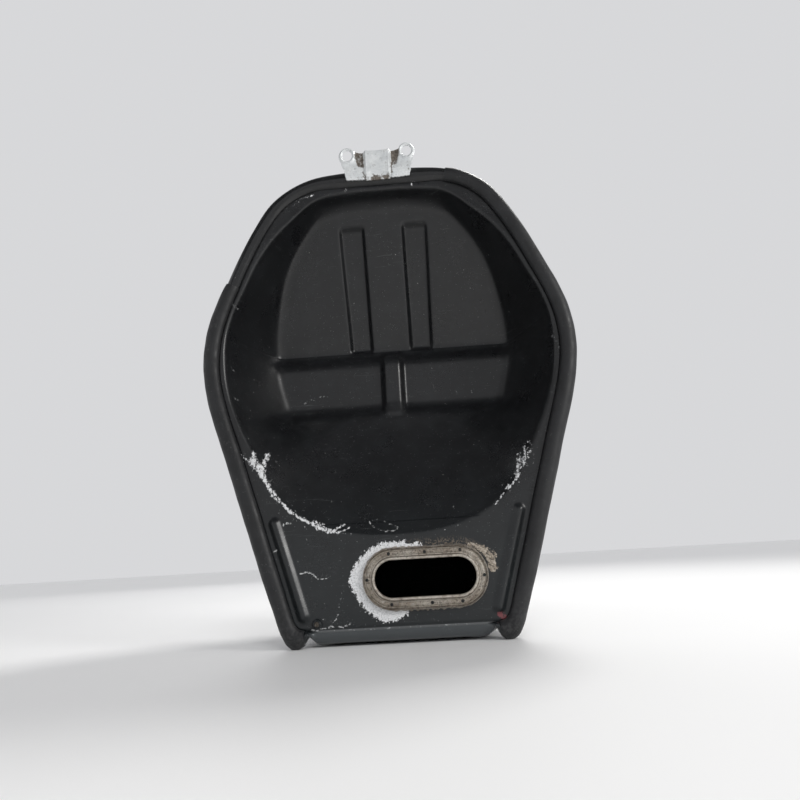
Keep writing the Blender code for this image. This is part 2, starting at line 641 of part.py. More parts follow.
def make_cap(shell):
    # neck: tube with an inward catch lip at its mouth
    turned("filler_neck", [(32.5, S), (32.5, S - 1.6), (30.5, S - 2.4), (30.5, S - 60), (29.0, S - 60),
                           (29.0, S - 4.4), (26.6, S - 3.4), (26.6, S)], 28, INNER, closed=True)
    spots = screw_spots()
    drill = cutter("skin_drill", cylinders(spots + [(-46, CAP_Z)], 2.9, S - 12, S + 14, 8, "skin_drill"))
    boolean(shell, drill)
    gasket = turned("cap_gasket", [(54.0, S + 1.8), (54.0, S + GAP), (33.6, S + GAP), (33.6, S + 1.8)], 28, NBR,
                    closed=True)
    boolean(gasket, cutter("gasket_drill", cylinders(spots, 2.9, S - 6, S + 14, 8, "gasket_drill")))
    b = S + 1.8 + GAP
    ring = turned("cap_ring", [(35.0, S + 8.2), (52.0, S + 8.2), (55.0, S + 6.4), (56.0, b), (33.6, b),
                               (33.6, S + 7.2)], 36, ALU, closed=True)
    hz = CAP_Z + HINGE[0]
    boolean(ring, cutter("hinge_notch", box_mesh("hinge_notch", -9, 9, S + 2.6, S + 20, CAP_Z + 26, hz + 6.2)))
    boolean(ring, cutter("pin_bore", x_cylinder("pin_bore", -15.3, 15.3, HINGE[1], hz, 1.9, 10)))
    boolean(ring, cutter("ring_screws", cylinders(spots, 2.9, S - 6, S + 30, 8, "ring_screws")))
    smooth(ring, 30)
    for k, (x, z) in enumerate(spots, 1):
        at = Matrix.Translation(W(x, 0, z)) @ Matrix.Rotation(math.radians(-90), 4, 'X')
        turned("cap_screw_%d" % k, [(0, S + 9.6), (1.9, S + 9.6), (1.9, S + 11.6), (3.6, S + 11.6), (4.3, S + 11.0), (4.3, S + 8.2 + GAP),
                                    (2.4, S + 8.2 + GAP), (2.4, S - 6), (0, S - 6)], 10, ZINC, at=at)

    # lid with its hinge knuckle
    lid = turned("cap_lid", [(9.4, S + 9.0), (24.0, S + 9.6), (30.5, S + 9.0), (32.6, S + 7.6), (32.6, S + 4.6),
                             (9.4, S + 4.6)], 32, ALU, closed=True)
    lug = box_mesh("lid_lug", -8.4, 8.4, S + 4.6, S + 8.9, CAP_Z + 28, hz)
    boolean(lid, cutter("lid_lug", lug), 'UNION')
    boolean(lid, cutter("lid_knuckle", x_cylinder("lid_knuckle", -8.4, 8.4, HINGE[1], hz, 4.3, 14)), 'UNION')
    boolean(lid, cutter("lid_pin_hole", x_cylinder("lid_pin_hole", -12, 12, HINGE[1], hz, 1.9, 10)))
    smooth(lid, 30)
    pin = new_object("hinge_pin", x_cylinder("hinge_pin", -15, 15, HINGE[1], hz, 1.5, 10), ZINC)
    smooth(pin, 30)

    # plug under the lid, seal, lock, latch
    plug = turned("lid_plug", [(22.0, S + 4.3), (22.0, S - 13.0), (20.0, S - 14.5), (9.4, S - 14.5), (9.4, S + 4.3)],
                  24, INNER, closed=True)
    boolean(plug, cutter("latch_slot", box_mesh("latch_slot", -5.3, 5.3, S - 9.2, S - 4.7, CAP_Z - 30, CAP_Z - 9)))
    smooth(plug, 30)
    turned("lid_seal", [(32.0, S + 4.2), (32.0, S + 0.5), (22.4, S + 0.5), (22.4, S + 4.2)], 28, NBR, closed=True)
    turned("lock_barrel", [(0, S + 8.0), (1.6, S + 8.0), (1.6, S + 9.3), (8.0, S + 9.3), (9.0, S + 8.7), (9.0, S - 4.0),
                           (3.2, S - 4.0), (3.2, S - 12.0), (0, S - 12.0)], 20, ZINC)
    new_object("latch_bolt", box_mesh("latch_bolt", -5.0, 5.0, S - 8.9, S - 5.0, CAP_Z - 21.5, CAP_Z - 9.5), ZINC)



def make_keyhole_cover():
    """Flat plate hanging over the keyhole from a rivet above it."""
    pz = CAP_Z + 14.0
    y0, y1 = S + 9.9, S + 11.2
    pts = []
    for k in range(13):
        t = math.radians(160 + 220 * k / 12)
        pts.append((8.2 * math.cos(t), CAP_Z + 8.2 * math.sin(t)))
    for k in range(7):
        t = math.radians(20 + 140 * k / 6)
        pts.append((4.4 * math.cos(t), pz + 4.4 * math.sin(t)))
    ob = new_object("keyhole_cover", prism(pts, y0, y1, "keyhole_cover"), ALU)
    boolean(ob, cutter("cover_hole", cylinders([(0, pz)], 1.9, y0 - 3, y1 + 3, 10, "cover_hole")))
    smooth(ob, 30)
    at = Matrix.Translation(W(0, 0, pz)) @ Matrix.Rotation(math.radians(-90), 4, 'X')
    turned("cover_rivet", [(0, S + 12.6), (2.2, S + 12.3), (3.0, S + 11.5), (1.5, S + 11.5), (1.5, S + 9.9),
                           (0, S + 9.9)], 10, ZINC, at=at)


def main():
    shell = make_outer_shell()
    make_base_pan()
    make_trim("edge_trim_right", 9, 27, False)
    make_trim("edge_trim_left", 9, 22, True)
    make_pump_rings()
    make_front_bracket()
    make_rear_bracket()
    make_inner()
    make_cap(shell)
    make_keyhole_cover()


main()
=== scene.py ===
"""Looks of the motorcycle fuel tank: fine pressed sheet, worn paint, bare pump flange, filler cap."""
import math
import bmesh
import bpy
import numpy as np
from mathutils import Matrix, Vector

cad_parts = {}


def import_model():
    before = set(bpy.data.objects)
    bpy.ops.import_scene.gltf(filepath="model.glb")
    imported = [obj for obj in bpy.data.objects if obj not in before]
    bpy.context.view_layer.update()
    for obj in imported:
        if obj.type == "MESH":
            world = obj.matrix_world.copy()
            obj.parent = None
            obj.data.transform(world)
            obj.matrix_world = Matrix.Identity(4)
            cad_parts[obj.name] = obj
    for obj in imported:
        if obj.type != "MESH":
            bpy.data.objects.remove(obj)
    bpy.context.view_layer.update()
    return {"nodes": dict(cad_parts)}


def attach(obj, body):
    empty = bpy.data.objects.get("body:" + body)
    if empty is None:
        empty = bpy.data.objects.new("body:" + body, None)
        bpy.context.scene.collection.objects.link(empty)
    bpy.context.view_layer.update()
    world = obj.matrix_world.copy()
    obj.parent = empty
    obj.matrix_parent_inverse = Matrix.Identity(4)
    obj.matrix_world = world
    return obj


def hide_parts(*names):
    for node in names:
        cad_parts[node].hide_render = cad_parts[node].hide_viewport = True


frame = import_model()
NODES = frame["nodes"]

MM = 0.001
Y_SHIFT = -116.5
HEM_D, PLATE_Y, STRIP_Y, GAP = 9.0, 6.0, 7.0, 0.3
CAP_Z, S, SEAT_R, HOLE_R = 375.0, 226.0, 62.0, 33.0
PUMP, PUMP_A, PUMP_R, RING_W = (26.5, 62.5), 33.0, 18.0, 12.5
EYE_X, EYE_Z = 36.0, 558.0
DRAIN = (-84.0, 23.0)

OUT = [(0, 3), (30, 3), (60, 3), (84, 3), (90, 8), (92, 12), (97, 4.5), (105, 0),
       (113.5, 3.5), (119, 13), (125, 30), (135, 58), (147, 94), (158, 128),
       (169.5, 163), (181, 199), (192, 231), (201, 262), (206, 290), (207, 315),
       (204, 343), (196, 371), (184, 402), (170, 436), (153, 471), (133, 503),
       (110, 522), (82, 534.5), (48, 539.5), (0, 540.5)]
LIP = [(0, 15.5), (30, 15.5), (60, 15.5), (84, 15.5), (89, 16), (93, 17), (96.5, 18),
       (100, 19.2), (103.5, 21.2), (107, 26), (111.5, 39), (120, 66), (131, 99.4),
       (141.5, 133.4), (153, 168.4), (164.5, 204.4), (175.3, 236), (184, 265.5),
       (189, 291), (190, 315), (187.2, 339.5), (180, 365.6), (168.5, 395.3),
       (154.7, 428.5), (138, 463), (120, 491), (101.5, 507), (77, 516.5),
       (46, 517.5), (0, 518)]
BODY = [(0, 0), (28, 0), (54, 0), (72, 0), (84, 1.5), (93, 5.5), (101, 11), (108, 18.5),
        (114, 28), (119, 39), (125, 53), (133, 74), (143, 102), (154, 132), (166, 165),
        (178, 199), (190, 231), (200, 262), (206, 290), (208, 315), (205.5, 343),
        (198, 371), (186.5, 402), (172.5, 436), (155, 471), (134, 503), (110, 524),
        (81, 537), (46, 543), (0, 545)]
LEVELS = [(35, 0.0, 0.0, 0.0), (65, -0.01, 0.0, 0.01), (95, 0.04, 0.0, 0.05),
          (128, 0.14, 0.0, 0.15), (152, 0.26, 0.14, 0.28), (173, 0.41, 0.31, 0.43),
          (193, 0.57, 0.49, 0.58), (209, 0.73, 0.68, 0.74), (220, 0.87, 0.85, 0.88),
          (227, 0.965, 0.96, 0.965)]
BOWL = [(0, 103.4), (50, 108), (82, 117.8), (111, 134.7), (128, 151.5), (143, 177),
        (157, 203), (171, 235), (182.5, 270), (187, 300), (187, 330), (179, 365),
        (163, 402), (147, 436), (128, 462), (107, 482), (75, 508), (45, 512.5), (0, 513.5)]
FLOOR = [(0, 250), (60, 249), (112, 249), (124, 257), (133, 280), (143, 318), (146, 345),
         (143, 375), (133, 415), (118, 450), (98, 478), (72, 497), (45, 504), (0, 506)]
BOWL_C = (0.0, 320.0)
BEAD = ((127.0, 124.0), (97.5, 31.0))


# ------------------------------------------------------------------ maths
def sst(a, b, v):
    t = np.clip((v - a) / (b - a), 0.0, 1.0)
    return t * t * (3 - 2 * t)


def mirror_ring(half):
    return list(half) + [(-x, z) for x, z in reversed(half[1:-1])]


def fine_ring(points, per):
    """Closed ring resampled on centripetal splines through its points."""
    p = np.array(points, float)
    n = len(p)
    out = []
    for i in range(n):
        a, b, c, d = p[i - 1], p[i], p[(i + 1) % n], p[(i + 2) % n]
        t0 = 0.0
        t1 = t0 + max(np.linalg.norm(b - a), 1e-6) ** 0.5
        t2 = t1 + max(np.linalg.norm(c - b), 1e-6) ** 0.5
        t3 = t2 + max(np.linalg.norm(d - c), 1e-6) ** 0.5
        for k in range(per):
            t = t1 + (t2 - t1) * k / per
            a1 = (t1 - t) / (t1 - t0) * a + (t - t0) / (t1 - t0) * b
            a2 = (t2 - t) / (t2 - t1) * b + (t - t1) / (t2 - t1) * c
            a3 = (t3 - t) / (t3 - t2) * c + (t - t2) / (t3 - t2) * d
            b1 = (t2 - t) / (t2 - t0) * a1 + (t - t0) / (t2 - t0) * a2
            b2 = (t3 - t) / (t3 - t1) * a2 + (t - t1) / (t3 - t1) * a3
            out.append((t2 - t) / (t2 - t1) * b1 + (t - t1) / (t2 - t1) * b2)
    return np.array(out)


def spline1(xs, ys, x):
    """Smooth interpolation through a table, with held ends."""
    xs, ys = np.asarray(xs, float), np.asarray(ys, float)
    h = np.diff(xs)
    d = np.diff(ys) / h
    m = np.empty_like(ys)
    m[0], m[-1] = d[0], d[-1]
    m[1:-1] = (d[:-1] * h[1:] + d[1:] * h[:-1]) / (h[:-1] + h[1:])
    x = np.clip(x, xs[0], xs[-1])
    k = np.clip(np.searchsorted(xs, x) - 1, 0, len(h) - 1)
    t = (x - xs[k]) / h[k]
    t2, t3 = t * t, t * t * t
    return ((2 * t3 - 3 * t2 + 1) * ys[k] + (t3 - 2 * t2 + t) * h[k] * m[k]
            + (-2 * t3 + 3 * t2) * ys[k + 1] + (t3 - t2) * h[k] * m[k + 1])


def world(p):
    p = np.asarray(p, float)
    return np.stack([p[..., 0], p[..., 1] + Y_SHIFT, p[..., 2]], -1) * MM


def W(x, y, z):
    return Vector((x * MM, (y + Y_SHIFT) * MM, z * MM))


def mesh_object(name, verts, faces, body="tank", smooth_deg=40):
    me = bpy.data.meshes.new(name)
    me.from_pydata([tuple(v) for v in verts], [], [tuple(f) for f in faces])
    me.validate()
    ob = bpy.data.objects.new(name, me)
    bpy.context.scene.collection.objects.link(ob)
    me.shade_smooth()
    if smooth_deg:
        me.set_sharp_from_angle(angle=math.radians(smooth_deg))
    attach(ob, body)
    return ob


def grid_faces(m, n, close_u=False, close_v=False):
    """Quads of an m x n grid of points, row by row."""
    f = []
    for j in range(m if close_v else m - 1):
        for i in range(n if close_u else n - 1):
            a, b = j * n + i, j * n + (i + 1) % n
            c, d = ((j + 1) % m) * n + (i + 1) % n, ((j + 1) % m) * n + i
            f.append((a, b, c, d))
    return f


def solidify(ob, t, offset):
    s = ob.modifiers.new("sheet", 'SOLIDIFY')
    s.thickness = t * MM
    s.offset = offset
    s.use_even_offset = False
    return s


# ------------------------------------------------------------------ rings
PER = 6
OUT_F = fine_ring(mirror_ring(OUT), PER)
LIP_F = fine_ring(mirror_ring(LIP), PER)
BODY_F = fine_ring(mirror_ring(BODY), PER)
OUT_F[:, 1] = np.maximum(OUT_F[:, 1], 0.0)
BODY_F[:, 1] = np.maximum(BODY_F[:, 1], 0.0)
NR = len(OUT_F)
_half = [1, 1, 1, 1, 0.55] + [0] * (len(OUT) - 5)
_rear = _half + list(reversed(_half[1:-1]))
REAR = np.clip(fine_ring([(v, 0) for v in _rear], PER)[:, 0], 0, 1)
# straight runs give coincident points in that ring, so it is filled by plain interpolation
REAR = np.interp(np.arange(NR) / PER, np.arange(len(_rear) + 1), _rear + [_rear[0]])


def hem_rows(u, off=0.0, idx=slice(None)):
    o, l, w = OUT_F[idx], LIP_F[idx], REAR[idx]
    d = l - o
    d = d / np.linalg.norm(d, axis=1)[:, None]
    phi = math.pi * u
    t_s, y_s = (1 - math.cos(phi)) / 2, HEM_D - (HEM_D + off) * math.sin(phi)
    t_r, y_r = 1 - math.cos(phi / 2), 17 - (17 - STRIP_Y + off) * math.sin(phi / 2)
    t = t_s * (1 - w) + t_r * w
    y = y_s * (1 - w) + y_r * w
    oo, ll = o - d * off, l + d * off
    p = oo + (ll - oo) * t[:, None]
    return np.stack([p[:, 0], y, p[:, 1]], 1)


def body_row(y, bs, br, bf):
    x, z = BODY_F[:, 0].copy(), BODY_F[:, 1]
    rho = 1 - sst(0, 210, z)
    phi = sst(400, 545, z)
    b = bs + rho * (br - bs) + phi * (bf - bs)
    hollow = np.exp(-((z - 120) / 75) ** 2) * sst(30, 115, y) * (1 - sst(185, 225, y))
    ang = np.arctan2(z - 300, x)
    x = x * (1 - 0.20 * hollow)
    qx, qz = 66 * np.cos(ang), CAP_Z + 66 * np.sin(ang)
    return np.stack([x + (qx - x) * b, np.full(NR, y), z + (qz - z) * b], 1)


def make_shell():
    rows = []
    back = hem_rows(1.0)
    back[:, 1] = (HEM_D + 3.5) * (1 - REAR) + (STRIP_Y + 4) * REAR
    rows.append(back)
    for k in range(24, -1, -1):
        rows.append(hem_rows(k / 24))
    base = hem_rows(0.0)
    top = body_row(35.0, 0, 0, 0)
    for k in range(1, 8):
        t = k / 8
        w = t * t * (3 - 2 * t)
        r = base + (top - base) * w
        r[:, 1] = base[:, 1] + (35.0 - base[:, 1]) * t
        rows.append(r)
    ys = [lv[0] for lv in LEVELS]
    grid = np.concatenate([np.arange(35, 150, 5.0), np.arange(150, 212, 3.0), np.arange(212, 227.1, 1.5)])
    for y in grid:
        b = [float(spline1(ys, [lv[c] for lv in LEVELS], np.array([y]))[0]) for c in (1, 2, 3)]
        b[1] = max(b[1], 0.0)
        rows.append(body_row(float(y), *b))
    ang = np.arctan2(BODY_F[:, 1] - 300, BODY_F[:, 0])
    last = rows[-1]
    for r, y, keep in ((66, 229.5, 0), (65.2, 229.6, 0), (64.2, 229.0, 0), (63.2, 227.4, 0), (62.6, 226.4, 0),
                       (61.6, 226, 0), (50, 226, 0), (40, 226, 0), (33, 226, 0)):
        rows.append(np.stack([r * np.cos(ang), np.full(NR, float(y)), CAP_Z + r * np.sin(ang)], 1))
    pts = world(np.array(rows))
    m = len(rows)
    ob = mesh_object("tank_shell", pts.reshape(-1, 3), grid_faces(m, NR, close_u=True), smooth_deg=None)
    bm = bmesh.new()
    bm.from_mesh(ob.data)
    bmesh.ops.recalc_face_normals(bm, faces=bm.faces)
    far = max(bm.verts, key=lambda v: v.co.x)
    if far.normal.x < 0:
        bmesh.ops.reverse_faces(bm, faces=bm.faces)
    bm.to_mesh(ob.data)
    bm.free()
    ob.data.shade_smooth()
    ob.data.set_sharp_from_angle(angle=math.radians(50))
    solidify(ob, 1.0, -1.0)
    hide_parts("outer_shell")
    return ob


# ------------------------------------------------------------------ base pan
def polar_table(points, up):
    """Right half outline -> smooth radius by angle, mirrored at both ends."""
    a = [math.atan2(z - BOWL_C[1], x - BOWL_C[0]) for x, z in points]
    r = [math.hypot(x - BOWL_C[0], z - BOWL_C[1]) for x, z in points]
    order = sorted(range(len(a)), key=lambda i: a[i])
    a, r = [a[i] for i in order], [r[i] for i in order]
    a = [-math.pi - a[1]] + a + [math.pi - a[-2]]
    r = [r[1]] + r + [r[-2]]
    return a, r


BOWL_T, FLOOR_T = polar_table(BOWL, 1), polar_table(FLOOR, 1)


def floor_depth(x, z):
    """Broad form of the recess floor; ribs and ridge are added after it is smoothed."""
    hi = 105 - (z - 342) * 0.46
    lo = 93 - 15 * (1 - sst(247, 264, z))
    w = sst(321, 344, z)
    return lo * (1 - w) + hi * w


def floor_relief(x, z):
    ax = np.abs(x)
    # channels narrow and deepen toward the step
    mid = 38.5 + 0.8 * sst(342, 487, z)
    hw = 14.6 - 1.2 * sst(480, 345, z)
    prof = 1 - sst(hw - 2.6, hw + 2.2, np.abs(ax - mid))
    rib = prof * sst(338, 347, z) * (1 - sst(480, 488, z))
    ridge = (1 - sst(7, 17, ax)) * sst(247, 266, z) * (1 - sst(326, 340, z))
    return 6.4 * rib - 8.5 * ridge


def blur(a, sy, sx):
    """Separable Gaussian smoothing with held edges."""
    for ax_, s_ in ((0, sy), (1, sx)):
        r = int(3 * s_) + 1
        k = np.exp(-0.5 * (np.arange(-r, r + 1) / s_) ** 2)
        k /= k.sum()
        pad = [(0, 0), (0, 0)]
        pad[ax_] = (r, r)
        b = np.pad(a, pad, mode='edge')
        out = np.zeros_like(a)
        for i, w in enumerate(k):
            sl = [slice(None), slice(None)]
            sl[ax_] = slice(i, i + a.shape[ax_])
            out += w * b[tuple(sl)]
        a = out
    return a


def pan_depth(x, z):
    ax = np.abs(x)
    dx, dz = ax - BOWL_C[0], z - BOWL_C[1]
    ang, r = np.arctan2(dz, dx), np.hypot(dx, dz)
    rb, rf = spline1(*BOWL_T, ang), spline1(*FLOOR_T, ang)
    s = (rb - r) / (rb - rf)
    fx, fz = BOWL_C[0] + rf * np.cos(ang), BOWL_C[1] + rf * np.sin(ang)
    edge = floor_depth(fx, fz)
    sc = np.clip(s, 0, 1)
    # rolled entry at the rim, then an easing wall down to the floor
    wall = 1 - (1 - sc) ** 1.35
    roll = 2.6 / np.maximum(rb - rf, 20.0)
    ease = np.where(sc < roll * 2, sc * sc / (roll * 4) * (1.35 / 1.0), wall - 1.35 * roll * 0.62)
    wall_s = np.minimum(wall, np.maximum(ease, 0))
    wall_s = wall_s + (wall - wall_s) * sst(0.1, 0.9, sc)
    inside = floor_depth(x, z)
    y_wall = PLATE_Y + (edge - PLATE_Y) * wall_s
    # soft shoulder between wall and floor
    near = sst(1.0, 1.07, s)
    y = np.where(s <= 0, PLATE_Y, np.where(s >= 1, edge + (inside - edge) * near, y_wall))
    # the press radius between wall and floor is generous, at the rim it is tight
    soft = blur(y, 3.8, 4.2)
    y = y + (soft - y) * sst(0.22, 0.62, s)
    y = y + floor_relief(x, z) * sst(0.93, 1.03, s)
    tight = blur(y, 1.0, 1.0)
    y = tight
    # side beads, pressed toward the underside
    (x0, z0), (x1, z1) = BEAD
    vx, vz = x1 - x0, z1 - z0
    t = np.clip(((ax - x0) * vx + (z - z0) * vz) / (vx * vx + vz * vz), 0, 1)
    d = np.hypot(ax - x0 - t * vx, z - z0 - t * vz)
    bead = np.where(d < 8.2, np.cos(np.clip(d / 8.2, 0, 1) * math.pi / 2) ** 2, 0)
    y = y - 4.1 * bead
    # distance to the drain, lower left corner, not used further
    dd = np.hypot(x - DRAIN[0], z - DRAIN[1])
    # faint springing and dents of thin sheet
    y = y + 0.28 * np.sin(x / 31.0 + 1.3) * np.sin(z / 27.0 + 0.4) * sst(0, 8, np.abs(r - rb))
    return y


def make_pan():
    # half width of the hem lip by height, from the fine ring's right half
    lip = LIP_F[:len(LIP_F) // 2 + 1]
    zz, xx = lip[:, 1], lip[:, 0]
    top = int(np.argmax(zz > 516.4))
    zs, xs = zz[3 * PER:top], xx[3 * PER:top]
    zrow = np.concatenate([np.arange(14.9, 120, 1.25), np.arange(120, 340, 1.4), np.arange(340, 518.3, 1.35), [518.4]])
    n = 281
    u = np.linspace(-1, 1, n)
    half = np.interp(zrow, zs, xs) + 0.7
    half = np.where(zrow > 516.0, np.minimum(half, 78.0), half)
    X = half[:, None] * u[None, :]
    Z = np.repeat(zrow[:, None], n, 1)
    Y = pan_depth(X, Z)
    Y = Y + 1.35 * (1 - sst(15.0, 19.5, Z))
    pts = world(np.stack([X, Y, Z], -1))
    m = len(zrow)
    faces = grid_faces(m, n)
    # opening behind the pump flange, and the drain
    cx, cz = PUMP
    keep = []
    Xf, Zf = X.reshape(-1), Z.reshape(-1)
    dx = np.maximum(np.abs(Xf - cx) - PUMP_A, 0)
    inside = np.hypot(dx, Zf - cz) < PUMP_R + 2.6
    drain = np.hypot(Xf - DRAIN[0], Zf - DRAIN[1]) < 3.4
    cut = inside | drain
    keep = [f for f in faces if not (cut[f[0]] and cut[f[1]] and cut[f[2]] and cut[f[3]])]
    ob = mesh_object("base_sheet", pts.reshape(-1, 3), keep, smooth_deg=None)
    me = ob.data
    if me.polygons[0].normal.y > 0:
        me.flip_normals()
    bm = bmesh.new()
    bm.from_mesh(me)
    bmesh.ops.delete(bm, geom=[v for v in bm.verts if not v.link_faces], context='VERTS')
    bm.to_mesh(me)
    bm.free()
    me.shade_smooth()
    solidify(ob, 1.2, -1.0)
    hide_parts("base_pan")
    return ob


# ------------------------------------------------------------------ trims
def make_trim(name, node, first, last, left):
    """Rubber moulding pushed over the rolled hem."""
    lo, hi = first * PER, last * PER
    idx = [(NR - s) % NR if left else s for s in range(lo, hi + 1)]
    idx = np.array(idx)
    n = len(idx)
    d = LIP_F[idx] - OUT_F[idx]
    d = d / np.linalg.norm(d, axis=1)[:, None]
    lips = np.stack([OUT_F[idx][:, 0] - d[:, 0] * 0.45, np.full(n, HEM_D + 5.0), OUT_F[idx][:, 1] - d[:, 1] * 0.45], 1)
    inner = [lips]
    K = 20
    for k in range(0, K + 1):
        inner.append(hem_rows(k / K * 5 / 6, 0.45, idx))
    inner = np.array(inner)                       # rows x n x 3
    # outside of the rubber: the same rows pushed out, thicker over the crown and thin at its two lips
    m = len(inner)
    tangent = np.gradient(inner, axis=0)
    along = np.gradient(inner, axis=1)
    nrm = np.cross(tangent, along)
    nrm /= np.linalg.norm(nrm, axis=2)[:, :, None] + 1e-9
    mid = inner[m // 2].mean(0)
    if nrm[m // 2, :, 1].mean() > 0:
        nrm = -nrm
    v = np.linspace(0, 1, m)
    thick = 0.55 + 1.45 * np.clip(np.sin(math.pi * np.clip(v * 1.05 - 0.02, 0, 1)), 0, 1) ** 0.45
    # slight waviness where the rubber has shrunk and lifted
    s = np.linspace(0, 1, n)
    wave = 1 + 0.06 * np.sin(s * 55 + (2 if left else 0)) + 0.05 * np.sin(s * 131 + 1)
    low = sst(-2, 26, inner[..., 2])
    end = np.minimum(sst(0.0, 0.03, s), 1 - sst(0.985, 1.0, s))
    outer = inner + nrm * (thick[:, None] * wave[None, :] * (0.35 + 0.65 * low) * (0.4 + 0.6 * end)[None, :])[:, :, None]
    outer[..., 2] = np.maximum(outer[..., 2], 0.0)
    # rounded ends
    loop = np.concatenate([inner, outer[::-1]], 0)
    pts = world(loop)
    M = len(loop)
    faces = grid_faces(M, n, close_v=True)
    base = [j * n for j in range(M)]
    end = [j * n + n - 1 for j in range(M)]
    for k in range(m - 1):
        a, b = k, M - 1 - k
        faces.append((base[a], base[a + 1], base[b - 1], base[b]))
        faces.append((end[a], end[b], end[b - 1], end[a + 1]))
    ob = mesh_object(name, pts.reshape(-1, 3), faces, smooth_deg=None)
    bm = bmesh.new()
    bm.from_mesh(ob.data)
    bmesh.ops.recalc_face_normals(bm, faces=bm.faces)
    bm.to_mesh(ob.data)
    bm.free()
    ob.data.shade_smooth()
    ob.data.set_sharp_from_angle(angle=math.radians(45))
    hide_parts(node)
    return ob


# ------------------------------------------------------------------ pump flange
def stadium(cx, cz, a, r, n_end, n_side=10):
    pts = []
    for k in range(n_end + 1):
        t = -math.pi / 2 + math.pi * k / n_end
        pts.append((cx + a + r * math.cos(t), cz + r * math.sin(t)))
    for k in range(1, n_side):
        pts.append((cx + a - 2 * a * k / n_side, cz + r))
    for k in range(n_end + 1):
        t = math.pi / 2 + math.pi * k / n_end
        pts.append((cx - a + r * math.cos(t), cz + r * math.sin(t)))
    for k in range(1, n_side):
        pts.append((cx - a + 2 * a * k / n_side, cz - r))
    return pts


def pump_spots():
    cx, cz = PUMP
    return [(cx - 36, cz + 24.6), (cx + 0.5, cz + 24.6), (cx + 36.5, cz + 24.6), (cx + 59, cz - 1),
            (cx + 35.5, cz - 24.6), (cx + 5.5, cz - 24.6), (cx - 35, cz - 24.6), (cx - 59, cz)]


def cylinders(name, spots, r, y0, y1, seg):
    bm = bmesh.new()
    for x, z in spots:
        mat = Matrix.Translation(W(x, (y0 + y1) / 2, z)) @ Matrix.Rotation(math.radians(-90), 4, 'X')
        bmesh.ops.create_cone(bm, cap_ends=True, segments=seg, radius1=r * MM, radius2=r * MM,
                              depth=abs(y1 - y0) * MM, matrix=mat)
    me = bpy.data.meshes.new(name)
    bm.to_mesh(me)
    bm.free()
    return bpy.data.objects.new(name, me)


def apply_booleans(ob, jobs):
    """Run the booleans once and keep only the finished mesh."""
    for tool, op in jobs:
        bpy.context.scene.collection.objects.link(tool)
        m = ob.modifiers.new("b", 'BOOLEAN')
        m.operation, m.solver, m.object = op, 'EXACT', tool
    bpy.context.view_layer.update()
    me = bpy.data.meshes.new_from_object(ob.evaluated_get(bpy.context.evaluated_depsgraph_get()))
    ob.modifiers.clear()
    old = ob.data
    ob.data = me
    bpy.data.meshes.remove(old)
    for tool, op in jobs:
        bpy.data.objects.remove(tool, do_unlink=True)


